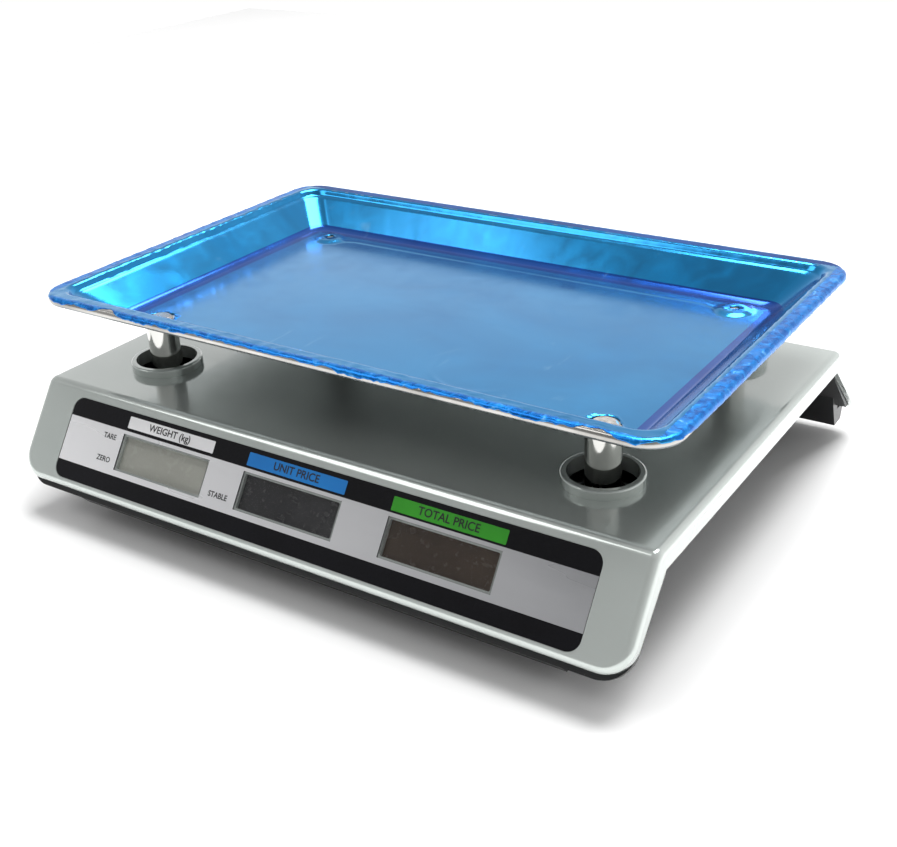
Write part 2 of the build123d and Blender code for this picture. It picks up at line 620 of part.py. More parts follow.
def customer_lcds():
    s = (WINDOW_TOP + WINDOW_BOTTOM) / 2
    return Compound([slab(FRONT_PANEL, x, s, 62, 23, LCD_BACK, LCD_FRONT, 0.8) for x in WINDOW_XS])


def customer_board():
    s = (WINDOW_TOP + WINDOW_BOTTOM) / 2
    return slab(FRONT_PANEL, 0, s, 224, 30, -CUSTOMER_BOARD_BACK, LCD_BACK, 2.0)


# ------------------------------------------------------------------ operator panel
def operator_overlay():
    body = operator_recess(-LABEL_DEPTH, -0.3, 0.2)
    for cut in operator_windows(-2, 1, 0) + key_holes(-2, 1, 0.35):
        body = body - cut
    return body


def operator_glass():
    return Compound(operator_windows(-LABEL_DEPTH, -0.25, 0.05))


def operator_lcds():
    s = (OPERATOR_WINDOW_TOP + OPERATOR_WINDOW_BOTTOM) / 2
    return Compound([slab(REAR_PANEL, x, s, 62, 20, LCD_BACK, LCD_FRONT, 0.8)
                     for x in OPERATOR_WINDOW_XS])


KEY_FLANGE_TOP = -COVER_WALL - 0.3
KEY_FLANGE_BOTTOM = KEY_FLANGE_TOP - 0.8
MAT_TOP = KEY_FLANGE_BOTTOM - KEY_TRAVEL - 0.2
MAT_BOTTOM = MAT_TOP - 1.0
OPERATOR_BOARD_BACK = BOARD_SHEET - MAT_BOTTOM


def key_cap(x, s):
    """Moulded key with a retaining flange behind the panel."""
    cap = slab(REAR_PANEL, x, s, KEY_WIDTH, KEY_HEIGHT, KEY_FLANGE_TOP, KEY_PROUD, 1.4)
    face = [e for e in cap.edges() if key_height(e) > KEY_PROUD - 0.01]
    cap = fillet(face, 0.6)
    lip = (KEY_WIDTH + 2.4, KEY_HEIGHT + 1.8)
    return cap + slab(REAR_PANEL, x, s, *lip, KEY_FLANGE_BOTTOM, KEY_FLANGE_TOP, 1.0)


def key_height(e):
    return (e.center() - REAR_PANEL.origin).dot(rear_out)


def keypad_mat():
    s = KEY_FIRST_S + KEY_PITCH_S * (KEY_ROWS - 1) / 2
    width = KEY_PITCH_X * KEY_COLUMNS + 4
    return slab(REAR_PANEL, 0, s, width, KEY_PITCH_S * KEY_ROWS - 0.6, MAT_BOTTOM, MAT_TOP, 2.0)


def operator_board():
    """Circuit board behind the operator's displays and keypad."""
    return slab(REAR_PANEL, 0, 31.2, 232, 44.5, -OPERATOR_BOARD_BACK, MAT_BOTTOM, 2.0)


# ------------------------------------------------------------------ electronics in the tub
BOARD_Z = 15.0
BOARD_X, BOARD_Y, BOARD_WIDTH, BOARD_LENGTH = 44.0, 66.0, 86.0, 52.0
BATTERY_Z = 13.0
BATTERY_SIZE = (88.0, 45.0, 28.0)


def board_spots():
    return [(BOARD_X + sx * (BOARD_WIDTH / 2 - 4), BOARD_Y + sy * (BOARD_LENGTH / 2 - 4))
            for sx in (-1, 1) for sy in (-1, 1)]


def main_board():
    half_x, half_y = BOARD_WIDTH / 2, BOARD_LENGTH / 2
    return block(BOARD_X - half_x, BOARD_X + half_x, BOARD_Y - half_y, BOARD_Y + half_y,
                 BOARD_Z, BOARD_Z + 1.6)


def board_parts():
    """Controller, converter, connectors, capacitors and the buzzer on the main board."""
    z = BOARD_Z + 1.6
    parts = [
        block(BOARD_X - 8, BOARD_X + 8, BOARD_Y - 8, BOARD_Y + 8, z, z + 2),
        block(BOARD_X + 18, BOARD_X + 28, BOARD_Y - 14, BOARD_Y - 4, z, z + 1.8),
        block(BOARD_X - 38, BOARD_X - 30, BOARD_Y - 6, BOARD_Y + 8, z, z + 7),
        block(BOARD_X + 8, BOARD_X + 28, BOARD_Y - 25, BOARD_Y - 19, z, z + 7),
        block(BOARD_X + 8, BOARD_X + 28, BOARD_Y + 19, BOARD_Y + 25, z, z + 7),
        block(BOARD_X - 28, BOARD_X - 14, BOARD_Y - 25, BOARD_Y - 19, z, z + 7),
        rod(BOARD_X + 33, BOARD_Y + 8, z, z + 7.5, 6.0) - rod(BOARD_X + 33, BOARD_Y + 8, z + 6, z + 8, 1.2),
        rod(BOARD_X - 20, BOARD_Y + 14, z, z + 12, 4.0),
        rod(BOARD_X - 10, BOARD_Y + 15, z, z + 9, 3.0),
    ]
    return Compound(parts)


def battery():
    """Sealed rechargeable block with two terminals."""
    x0, y0 = DOOR_X - BATTERY_SIZE[0] / 2, DOOR_Y - BATTERY_SIZE[1] / 2
    body = block(x0, x0 + BATTERY_SIZE[0], y0, y0 + BATTERY_SIZE[1], BATTERY_Z,
                 BATTERY_Z + BATTERY_SIZE[2])
    body = fillet(body.edges().filter_by(Axis.Z), 2.0)
    for dy in (-12, 12):
        body = body + block(x0 + BATTERY_SIZE[0], x0 + BATTERY_SIZE[0] + 4, DOOR_Y + dy - 2.4,
                            DOOR_Y + dy + 2.4, BATTERY_Z + 20, BATTERY_Z + 21)
    return body


def door_box(grow):
    half_x, half_y = DOOR_WIDTH / 2 + grow, DOOR_LENGTH / 2 + grow
    return DOOR_X - half_x, DOOR_X + half_x, DOOR_Y - half_y, DOOR_Y + half_y


def battery_door():
    """Lid in the tub floor, on a round hinge lip along its front edge, with a finger notch."""
    x0, x1, y0, y1 = door_box(0)
    axis_y, axis_z = y0 + DOOR_LIP_RADIUS, LOWER_TUB_Z + DOOR_LIP_RADIUS
    body = block(x0, x1, axis_y, y1, LOWER_TUB_Z, LOWER_TUB_Z + 2 * DOOR_LIP_RADIUS)
    lip = Pos(DOOR_X, axis_y, axis_z) * Rot(0, 90, 0) * Cylinder(DOOR_LIP_RADIUS, DOOR_WIDTH)
    notch = Pos(DOOR_X, y1, LOWER_TUB_Z) * Rot(0, 90, 0) * Cylinder(1.2, 20)
    return body + lip - notch


def switch_housing():
    """Snap-in bezel and body of the power switch."""
    half_y, half_z = SWITCH_LENGTH / 2, SWITCH_HEIGHT / 2
    wall = -LOWER_TUB_X
    bezel = block(wall - 1.4, wall, SWITCH_Y - half_y - 1.2, SWITCH_Y + half_y + 1.2,
                  SWITCH_Z - half_z - 1.0, SWITCH_Z + half_z + 1.0)
    body = block(wall, wall + 14, SWITCH_Y - half_y + 0.1, SWITCH_Y + half_y - 0.1,
                 SWITCH_Z - half_z + 0.1, SWITCH_Z + half_z - 0.1)
    well = block(wall - 2, wall + 9, SWITCH_Y - half_y + 1.4, SWITCH_Y + half_y - 1.4,
                 SWITCH_Z - half_z + 1.4, SWITCH_Z + half_z - 1.4)
    return bezel + body - well


ROCKER_PIVOT_X = -LOWER_TUB_X + 3.0
ROCKER_PIVOT_RADIUS = 2.2
ROCKER_TILT = 7.0


def power_rocker():
    """Rocker that tips about an upright pin; it stands on at rest, tipped to one side."""
    half_y = SWITCH_LENGTH / 2 - 2.2
    half_z = SWITCH_HEIGHT / 2 - 1.7
    outline = [(0, -half_y), (0, half_y), (-6.0, half_y), (-4.8, 0), (-6.0, -half_y)]
    face = make_face(Polyline(*[(x, y, 0) for x, y in outline], close=True))
    body = Pos(0, 0, -half_z) * extrude(face, amount=2 * half_z)
    body = body + Cylinder(ROCKER_PIVOT_RADIUS, 2 * half_z)
    return Pos(ROCKER_PIVOT_X, SWITCH_Y, SWITCH_Z) * Rot(0, 0, ROCKER_TILT) * body


def charge_inlet():
    """Round low-voltage socket for the charger."""
    axis = Pos(-LOWER_TUB_X, INLET_Y, SWITCH_Z) * Rot(0, 90, 0)
    body = Pos(0, 0, 5.5) * Cylinder(5.4, 13.0) + Pos(0, 0, -0.8) * Cylinder(6.8, 1.6)
    body = body - Pos(0, 0, 2.0) * Cylinder(3.0, 10.0)
    pin = Pos(0, 0, 3.0) * Cylinder(1.0, 8.5)
    return axis * (body + pin)


# ------------------------------------------------------------------ wiring
PLUG_Z = BOARD_Z + 5.1            # middle of the connectors on the main board
CELL_LEAD_X, SUPPLY_X, RIBBON_X = BOARD_X - 17.0, BOARD_X - 27.0, BOARD_X + 18.0


def panel_point(panel, x, s, depth):
    """Point behind a panel, as x, y, z."""
    return tuple(panel.from_local_coords(Vector(x, -s, -depth)))


def load_cell_cable():
    """Screened cable from the side of the load cell to the main board."""
    side = TRAY_Y + CELL_SIZE / 2
    route = [(-27, side, 20), (-27, 20, 20), (CELL_LEAD_X, 26, PLUG_Z),
             (CELL_LEAD_X, BOARD_Y - 25, PLUG_Z)]
    return cable(route, 1.6, 5)


def wiring_loom():
    """Leads from the main board to both display boards and to the battery."""
    front = cable(
        [(RIBBON_X, BOARD_Y - 25, PLUG_Z), (RIBBON_X, 26, PLUG_Z), (84, 14, 18), (84, -70, 18),
         panel_point(FRONT_PANEL, 60, 25, 22), panel_point(FRONT_PANEL, 60, 25, CUSTOMER_BOARD_BACK)],
        1.8, 4)
    rear = cable(
        [(RIBBON_X, BOARD_Y + 25, PLUG_Z), (RIBBON_X, 100, PLUG_Z),
         panel_point(REAR_PANEL, -RIBBON_X, 20, OPERATOR_BOARD_BACK + 12),
         panel_point(REAR_PANEL, -RIBBON_X, 20, OPERATOR_BOARD_BACK)], 1.8, 3)
    terminal_x = DOOR_X + BATTERY_SIZE[0] / 2 + 4
    supply = cable(
        [(terminal_x, DOOR_Y - 12, 33.5), (6, DOOR_Y - 12, 33.5), (12, 34, 26),
         (SUPPLY_X, 31, PLUG_Z),
         (SUPPLY_X, BOARD_Y - 25, PLUG_Z)], 1.3, 2.5)
    return Compound([front, rear, supply])


# ------------------------------------------------------------------ all pieces
def grouped(shape_at):
    return Compound(posts(shape_at))


def make_parts():
    os.makedirs("parts", exist_ok=True)
    single = {
        "weighing_tray": weighing_tray,
        "protective_film": protective_film,
        "load_spider": load_spider,
        "upper_spacer": upper_spacer,
        "upper_cell_screws": upper_cell_screws,
        "load_cell": load_cell,
        "bearing_plate": bearing_plate,
        "lower_cell_screws": lower_cell_screws,
        "overload_stops": overload_stops,
        "top_cover": top_cover,
        "spirit_level": spirit_level,
        "base_tub": base_tub,
        "cover_screws": cover_screws,
        "foot_inserts": foot_inserts,
        "customer_overlay": customer_overlay,
        "customer_windows": customer_windows,
        "customer_lcds": customer_lcds,
        "customer_board": customer_board,
        "operator_overlay": operator_overlay,
        "operator_windows": operator_glass,
        "operator_lcds": operator_lcds,
        "operator_board": operator_board,
        "keypad_mat": keypad_mat,
        "main_board": main_board,
        "board_parts": board_parts,
        "battery": battery,
        "battery_door": battery_door,
        "switch_housing": switch_housing,
        "power_rocker": power_rocker,
        "charge_inlet": charge_inlet,
        "load_cell_cable": load_cell_cable,
        "wiring_loom": wiring_loom,
    }
    for node, make in single.items():
        save(node, make())
    save("tray_posts", grouped(tray_post))
    save("tray_rivets", grouped(tray_rivet))
    save("post_bushes", grouped(post_bush))
    for number, (x, s) in enumerate(key_spots(), start=1):
        save(f"key_{number:02d}", key_cap(x, s))
    for name, (x, y) in zip(("front_left", "front_right", "rear_left", "rear_right"), foot_spots()):
        save(f"foot_screw_{name}", foot_screw(x, y))
        save(f"foot_pad_{name}", foot_pad(x, y))


make_parts()
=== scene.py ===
"""Looks of the retail price scale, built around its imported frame. Metres, +Z up, customer side -Y."""

import math

import bmesh
import bpy
from mathutils import Matrix, Vector, noise


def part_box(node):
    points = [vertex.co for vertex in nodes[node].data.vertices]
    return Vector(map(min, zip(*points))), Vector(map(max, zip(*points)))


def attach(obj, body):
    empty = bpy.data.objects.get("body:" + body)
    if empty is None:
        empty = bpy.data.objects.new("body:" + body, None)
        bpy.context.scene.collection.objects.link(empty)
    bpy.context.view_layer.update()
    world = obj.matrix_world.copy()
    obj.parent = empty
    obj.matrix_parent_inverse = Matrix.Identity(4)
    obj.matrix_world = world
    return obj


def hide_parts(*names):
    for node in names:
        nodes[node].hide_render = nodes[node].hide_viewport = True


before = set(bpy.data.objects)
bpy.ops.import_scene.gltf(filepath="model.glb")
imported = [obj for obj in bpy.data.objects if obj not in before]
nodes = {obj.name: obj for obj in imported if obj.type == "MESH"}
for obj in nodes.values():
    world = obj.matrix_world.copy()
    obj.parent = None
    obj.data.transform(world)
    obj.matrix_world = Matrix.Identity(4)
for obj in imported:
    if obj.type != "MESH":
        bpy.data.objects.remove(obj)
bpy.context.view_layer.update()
MM = 0.001

# ------------------------------------------------------------------ driving dimensions, metres
tray_low, tray_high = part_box("weighing_tray")
TRAY_CENTRE = (tray_low + tray_high) / 2
TRAY_HALF_X = (tray_high.x - tray_low.x) / 2
TRAY_HALF_Y = (tray_high.y - tray_low.y) / 2
RIM_Z = tray_high.z
SHEET = 1.0 * MM
BEAD = 2.5 * MM
RIM_CORNER = 17.0 * MM
BEAD_SLACK = 0.25 * MM            # room for the film round the outside of the bead
STEEL_SINK = 0.2 * MM             # steel under the rim's top, which leaves room for the film
FILM_LIFT = 0.14 * MM             # film over the steel
FILM_LIFT_LIMIT = 0.40 * MM       # height of its tallest crease on the rim
FLANGE_INNER = 8.6 * MM
FLOOR_CORNER = 8.0 * MM
# Upper surface of the tray from the flange to its floor: inset from the rim, depth, corner radius.
TRAY_STEPS = [
    (FLANGE_INNER, 0.0, 11.0 * MM),
    (10.4 * MM, 3.2 * MM, 10.5 * MM),
    (12.0 * MM, 4.0 * MM, 10.0 * MM),
    (24.5 * MM, 16.6 * MM, 9.0 * MM),
    (27.5 * MM, 18.0 * MM, FLOOR_CORNER),
]
FLOOR_DEPTH = TRAY_STEPS[-1][1]
POST_X = 121.5 * MM
POST_YS = (-73.5 * MM, 62.0 * MM)
TEAR_FRONT, TEAR_REAR = 7.0 * MM, 2.2 * MM
RIVET_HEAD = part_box("tray_rivets")[1].z - (RIM_Z - FLOOR_DEPTH)

TOP_Z = 62.0 * MM
FRONT_CREASE_Y, REAR_CREASE_Y = -112.5 * MM, 95.5 * MM
FRONT_EDGE = Vector((0, -141.0 * MM, 22.0 * MM))
REAR_EDGE = Vector((0, 141.0 * MM, 15.5 * MM))

PRINT = 0.06 * MM                 # thickness of a printed layer
OVERLAY_FACE = -0.3 * MM          # face of both printed overlays, under the panel surface
LCD_FACE = -2.7 * MM


# ------------------------------------------------------------------ panels
class Panel:
    """A sloping face of the cover: x across as its reader sees it, s down from the crease."""

    def __init__(self, crease_y, edge, reader_right):
        self.origin = Vector((0, crease_y, TOP_Z))
        self.right = Vector((reader_right, 0, 0))
        self.down = (edge - self.origin).normalized()
        self.out = self.right.cross(-self.down)

    def at(self, x, s, height=0.0):
        return self.origin + self.right * x + self.down * s + self.out * height

    def matrix(self, x, s, height):
        turn = Matrix((self.right, -self.down, self.out)).transposed()
        return Matrix.Translation(self.at(x, s, height)) @ turn.to_4x4()


FRONT = Panel(FRONT_CREASE_Y, FRONT_EDGE, 1)
REAR = Panel(REAR_CREASE_Y, REAR_EDGE, -1)


# ------------------------------------------------------------------ materials
def linear(r, g, b):
    """Colour given in the usual 0 to 255 display values."""
    def channel(value):
        value = value / 255
        return value / 12.92 if value <= 0.04045 else ((value + 0.055) / 1.055) ** 2.4
    return (channel(r), channel(g), channel(b), 1.0)


class Shader:
    """Node tree of one material with a Principled shader in it."""

    def __init__(self, name):
        self.material = bpy.data.materials.new(name)
        self.material.use_nodes = True
        self.tree = self.material.node_tree
        self.tree.nodes.clear()
        output = self.add("ShaderNodeOutputMaterial")
        self.bsdf = self.add("ShaderNodeBsdfPrincipled")
        self.link(self.bsdf.outputs["BSDF"], output.inputs["Surface"])
        self.position = self.add("ShaderNodeTexCoord").outputs["Object"]

    def add(self, kind, **settings):
        node = self.tree.nodes.new(kind)
        for key, value in settings.items():
            setattr(node, key, value)
        return node

    def link(self, source, target):
        self.tree.links.new(source, target)

    def noise(self, scale, detail=3.0, stretch=(1, 1, 1), distortion=0.0):
        mapping = self.add("ShaderNodeMapping")
        mapping.inputs["Scale"].default_value = stretch
        self.link(self.position, mapping.inputs["Vector"])
        texture = self.add("ShaderNodeTexNoise")
        texture.inputs["Scale"].default_value = scale
        texture.inputs["Detail"].default_value = detail
        texture.inputs["Distortion"].default_value = distortion
        self.link(mapping.outputs["Vector"], texture.inputs["Vector"])
        return texture.outputs["Fac"]

    def ramp(self, source, stops):
        ramp = self.add("ShaderNodeValToRGB")
        elements = ramp.color_ramp.elements
        while len(elements) < len(stops):
            elements.new(0.5)
        for element, (place, colour) in zip(elements, stops):
            element.position = place
            element.color = colour
        self.link(source, ramp.inputs["Fac"])
        return ramp.outputs["Color"]

    def spread(self, source, low, high, start=0.3, end=0.7):
        spread = self.add("ShaderNodeMapRange")
        spread.inputs["From Min"].default_value = start
        spread.inputs["From Max"].default_value = end
        spread.inputs["To Min"].default_value = low
        spread.inputs["To Max"].default_value = high
        self.link(source, spread.inputs["Value"])
        return spread.outputs["Result"]

    def blend(self, factor, first, second):
        mix = self.add("ShaderNodeMix", data_type="RGBA")
        self.link(factor, mix.inputs["Factor"])
        for source, socket in ((first, mix.inputs[6]), (second, mix.inputs[7])):
            if isinstance(source, tuple):
                socket.default_value = source
            else:
                self.link(source, socket)
        return mix.outputs[2]

    def bump(self, source, strength, distance):
        bump = self.add("ShaderNodeBump")
        bump.inputs["Strength"].default_value = strength
        bump.inputs["Distance"].default_value = distance
        self.link(source, bump.inputs["Height"])
        return bump

    def set(self, **values):
        for name, value in values.items():
            self.bsdf.inputs[name.replace("_", " ")].default_value = value


def surface(name, dark, light, rough, grain, bump=0.1, bump_distance=0.05 * MM, variation=30.0,
            stretch=(1, 1, 1), scratches=0.0, **settings):
    """Colour that drifts between two tones, roughness with grain, and a fine relief."""
    shader = Shader(name)
    drift = shader.noise(variation, 4.0, stretch)
    colour = shader.ramp(drift, [(0.35, dark), (0.65, light)])
    fine = shader.noise(grain, 3.0, stretch)
    roughness = shader.spread(fine, rough[0], rough[1])
    if scratches:
        lines = shader.noise(420.0, 2.0, (1.0, 0.04, 1.0), 0.4)
        mask = shader.spread(lines, 0.0, scratches, 0.62, 0.72)
        colour = shader.blend(mask, colour, tuple(min(1.0, c * 1.6 + 0.05) for c in light[:3]) + (1.0,))
    shader.link(colour, shader.bsdf.inputs["Base Color"])
    shader.link(roughness, shader.bsdf.inputs["Roughness"])
    relief = shader.bump(fine, bump, bump_distance)
    shader.link(relief.outputs["Normal"], shader.bsdf.inputs["Normal"])
    shader.set(**settings)
    return shader.material


def cover_paint():
    """Silver-grey gloss paint on moulded plastic, with slight orange peel and handling marks."""
    shader = Shader("cover_paint")
    drift = shader.noise(9.0, 3.0)
    tone = shader.ramp(drift, [(0.35, linear(200, 208, 204)), (0.65, linear(209, 216, 212))])
    flake = shader.noise(5200.0, 1.0)
    tone = shader.blend(shader.spread(flake, 0.0, 0.16, 0.45, 0.75), tone, linear(222, 227, 224))
    shader.link(tone, shader.bsdf.inputs["Base Color"])
    smear = shader.noise(26.0, 4.0, (1.0, 2.4, 1.0), 0.6)
    shader.link(shader.spread(smear, 0.12, 0.20), shader.bsdf.inputs["Roughness"])
    peel = shader.bump(shader.noise(700.0, 2.0), 0.12, 0.02 * MM)
    shader.link(peel.outputs["Normal"], shader.bsdf.inputs["Normal"])
    shader.set(Metallic=0.55, Coat_Weight=1.0, Coat_Roughness=0.05)
    return shader.material


def film_blue(name, dark, light):
    """Blue peel-off film pressed onto polished steel: tinted metal under a clear skin."""
    shader = Shader(name)
    cloud = shader.noise(16.0, 3.0, (1.0, 1.4, 1.0), 0.5)
    tint = shader.ramp(cloud, [(0.3, linear(*dark)), (0.7, linear(*light))])
    scuffs = shader.noise(90.0, 5.0, (1.0, 0.35, 1.0), 1.2)
    tint = shader.blend(shader.spread(scuffs, 0.0, 0.35, 0.66, 0.8), tint, linear(150, 205, 240))
    shader.link(tint, shader.bsdf.inputs["Base Color"])
    grease = shader.noise(60.0, 4.0, (1.0, 1.0, 1.0), 0.8)
    shader.link(shader.spread(grease, 0.13, 0.24), shader.bsdf.inputs["Roughness"])
    bubbles = shader.bump(shader.noise(240.0, 3.0, (1.0, 1.0, 1.0), 0.3), 0.10, 0.06 * MM)
    shader.link(bubbles.outputs["Normal"], shader.bsdf.inputs["Normal"])
    shader.set(Metallic=1.0, Coat_Weight=0.6, Coat_Roughness=0.16)
    return shader.material


def film_creased_painted_highlight():
    """The same film where it is stretched and crinkled over the rim: duller, and paler on its folds as a
    painted highlight.
    """
    shader = Shader("film_creased_painted_highlight")
    folds = shader.noise(260.0, 3.0, (1.0, 1.0, 1.0), 0.9)
    # paler tones on the folds: painted highlight; the crinkle itself is in the roughness and relief
    tint = shader.ramp(folds, [(0.30, linear(0, 100, 192)), (0.62, linear(16, 134, 222)),
                               (0.86, linear(150, 214, 246))])
    shader.link(tint, shader.bsdf.inputs["Base Color"])
    shader.link(shader.spread(folds, 0.18, 0.42), shader.bsdf.inputs["Roughness"])
    relief = shader.bump(folds, 0.30, 0.2 * MM)
    shader.link(relief.outputs["Normal"], shader.bsdf.inputs["Normal"])
    shader.set(Metallic=0.85, Coat_Weight=0.2, Coat_Roughness=0.2)
    return shader.material


def clear_window():
    """Clear sheet over a display: nearly all of it is see-through, with a faint sheen."""
    shader = Shader("clear_window")
    tint = shader.ramp(shader.noise(40.0), [(0.3, (0.02, 0.02, 0.02, 1)), (0.7, (0.04, 0.04, 0.04, 1))])
    shader.link(tint, shader.bsdf.inputs["Base Color"])
    shader.link(shader.spread(shader.noise(30.0, 3.0), 0.24, 0.34), shader.bsdf.inputs["Roughness"])
    shader.set(Alpha=0.12)
    return shader.material


def display_glass(name, dark, light):
    """Face of a display module: two close tones under the polariser, and an uneven gloss."""
    shader = Shader(name)
    drift = shader.noise(22.0, 3.0)
    shader.link(shader.ramp(drift, [(0.3, dark), (0.7, light)]), shader.bsdf.inputs["Base Color"])
    shader.link(shader.spread(shader.noise(300.0), 0.16, 0.30), shader.bsdf.inputs["Roughness"])
    shader.set(Coat_Weight=0.3, Coat_Roughness=0.1)
    return shader.material


def silver_print_painted_sheen():
    """Brushed-silver ink with a painted sheen: its tone falls off from one end of the band to the other."""
    shader = Shader("silver_print_painted_sheen")
    split = shader.add("ShaderNodeSeparateXYZ")
    shader.link(shader.position, split.inputs["Vector"])
    # painted sheen: the band is lighter at one end and darker at the other
    along = shader.spread(split.outputs["X"], 0.0, 1.0, -0.14, 0.14)
    tone = shader.ramp(along, [(0.0, linear(248, 248, 250)), (1.0, linear(158, 159, 162))])
    grain = shader.noise(60.0, 3.0, (0.2, 1.0, 1.0))
    tone = shader.blend(shader.spread(grain, 0.0, 0.12), tone, linear(236, 237, 240))
    shader.link(tone, shader.bsdf.inputs["Base Color"])
    shader.link(shader.spread(grain, 0.26, 0.32), shader.bsdf.inputs["Roughness"])
    shader.set(Metallic=0.4)
    return shader.material


def plastic(name, dark, light, rough=(0.35, 0.5), grain=1600.0, bump=0.25, **settings):
    return surface(name, linear(*dark), linear(*light), rough, grain, bump, 0.06 * MM, **settings)


def metal(name, dark, light, rough=(0.2, 0.35), stretch=(1, 1, 1), **settings):
    return surface(name, linear(*dark), linear(*light), rough, 500.0, 0.08, 0.03 * MM,
                   stretch=stretch, Metallic=1.0, **settings)


MATERIALS = {
    "cover": cover_paint(),
    "film": film_blue("film_blue", (14, 138, 204), (34, 154, 220)),
    "film_creased_painted_highlight": film_creased_painted_highlight(),
    # darker copy of the film for the foot of the walls: painted shade
    "film_foot_painted_shade": film_blue("film_foot_painted_shade", (0, 74, 170), (0, 96, 194)),
    # dull dark film for a band on the back rim: painted shade
    "film_rim_painted_shade": surface("film_rim_painted_shade", linear(0, 48, 108), linear(2, 66, 136), (0.30, 0.42), 420.0, 0.2,
                         0.05 * MM, Metallic=0.2, Specular_IOR_Level=0.15),
    "window": clear_window(),
    "base": plastic("base_black", (17, 18, 20), (30, 31, 33), (0.28, 0.42), Coat_Weight=0.15),
    "tray_steel": metal("tray_steel", (168, 166, 162), (212, 210, 206), (0.12, 0.26), (1.0, 0.05, 1.0)),
    # darker copy of the tray steel for its underside: painted shade
    "tray_steel_painted_shade": metal("tray_steel_painted_shade", (128, 132, 134), (150, 154, 155), (0.2, 0.32), (1.0, 0.05, 1.0)),
    "post": metal("post_chrome", (196, 196, 192), (226, 226, 222), (0.04, 0.12), (1, 1, 0.2)),
    "rivet": metal("rivet_steel", (176, 172, 168), (216, 212, 206), (0.2, 0.4)),
    "zinc": metal("zinc_plate", (148, 146, 138), (186, 184, 176), (0.3, 0.5)),
    "screw": metal("screw_steel", (120, 120, 122), (162, 162, 164), (0.25, 0.4)),
    "aluminium": metal("cell_aluminium", (168, 170, 174), (196, 198, 200), (0.3, 0.42), (0.1, 1, 1)),
    "cast": metal("cast_alloy", (120, 122, 124), (158, 160, 160), (0.45, 0.62)),
    "brass": metal("insert_brass", (176, 140, 72), (206, 172, 98), (0.25, 0.4)),
    "rubber": plastic("bush_rubber", (16, 16, 16), (34, 33, 32), (0.6, 0.8), 900.0, 0.35),
    "foot_rubber": plastic("foot_rubber", (20, 20, 21), (40, 39, 38), (0.65, 0.85), 700.0, 0.4),
    "foot_plastic": plastic("foot_plastic", (34, 34, 36), (52, 52, 54), (0.4, 0.55)),
    "mat": plastic("mat_silicone", (120, 124, 122), (146, 150, 148), (0.55, 0.7), 800.0),
    "key": plastic("key_plastic", (214, 214, 208), (230, 230, 224), (0.32, 0.45), 1500.0, 0.15),
    "rocker": plastic("rocker_plastic", (22, 22, 23), (38, 38, 40), (0.25, 0.4)),
    "laminate": plastic("board_laminate", (18, 74, 44), (30, 96, 58), (0.3, 0.45), 800.0),
    "component": plastic("component_plastic", (24, 24, 26), (46, 46, 50), (0.35, 0.5)),
    "battery": plastic("battery_case", (46, 50, 56), (66, 70, 76), (0.4, 0.55)),
    "cable": plastic("cable_jacket", (52, 52, 54), (76, 76, 78), (0.45, 0.6)),
    "fascia": plastic("fascia_black", (8, 8, 12), (13, 13, 18), (0.14, 0.24), 900.0, 0.03,
                      Specular_IOR_Level=0.3),
    "keypad_print": plastic("keypad_print", (28, 34, 44), (38, 44, 56), (0.3, 0.42), 1800.0, 0.2),
    "silver_print_painted_sheen": silver_print_painted_sheen(),
    "white_print": plastic("white_print", (220, 220, 222), (234, 234, 235), (0.3, 0.4), 1500.0, 0.05),
    "blue_print": plastic("blue_print", (0, 112, 190), (6, 122, 200), (0.3, 0.4), 1500.0, 0.05),
    "green_print": plastic("green_print", (38, 140, 18), (48, 154, 26), (0.3, 0.4), 1500.0, 0.05),
    "black_print": plastic("black_print", (12, 12, 14), (26, 26, 30), (0.35, 0.5), 1500.0, 0.05),
    "red_print": plastic("red_print", (150, 30, 26), (170, 40, 34), (0.35, 0.5), 1500.0, 0.05),
    "lcd_grey": display_glass("lcd_grey", linear(184, 185, 176), linear(196, 197, 188)),
    "lcd_dark": display_glass("lcd_dark", linear(44, 44, 47), linear(56, 56, 58)),
    # warm tone of the third customer module: painted reflection
    "lcd_warm_painted_reflection": display_glass("lcd_warm_painted_reflection", linear(62, 50, 41), linear(74, 62, 52)),
    "ghost_grey": display_glass("ghost_grey", linear(170, 171, 162), linear(182, 183, 174)),
    "vial": plastic("vial_acrylic", (150, 196, 60), (176, 214, 90), (0.05, 0.12), 300.0, 0.03,
                    Coat_Weight=1.0),
}

NODE_MATERIALS = {
    "top_cover": "cover", "base_tub": "base", "battery_door": "base", "switch_housing": "base",
    "charge_inlet": "base", "tray_posts": "post", "tray_rivets": "rivet",
    "bearing_plate": "zinc", "lower_cell_screws": "screw", "upper_cell_screws": "screw",
    "overload_stops": "screw", "cover_screws": "screw", "load_cell": "aluminium",
    "upper_spacer": "aluminium", "load_spider": "cast", "foot_inserts": "brass",
    "post_bushes": "rubber", "keypad_mat": "mat", "power_rocker": "rocker",
    "customer_board": "laminate", "operator_board": "laminate", "main_board": "laminate",
    "board_parts": "component", "battery": "battery", "load_cell_cable": "cable",
    "wiring_loom": "cable", "customer_overlay": "fascia", "operator_overlay": "keypad_print",
    "customer_windows": "window", "operator_windows": "window", "spirit_level": "vial",
    "customer_lcds": "lcd_dark", "operator_lcds": "lcd_grey",
}


def dress_nodes():
    """Every CAD node that stays visible gets its finished material."""
    for name, node in nodes.items():
        kind = NODE_MATERIALS.get(name)
        if name.startswith("key_"):
            kind = "key"
        elif name.startswith("foot_pad"):
            kind = "foot_rubber"
        elif name.startswith("foot_screw"):
            kind = "foot_plastic"
        if kind:
            node.data.materials.clear()
            node.data.materials.append(MATERIALS[kind])


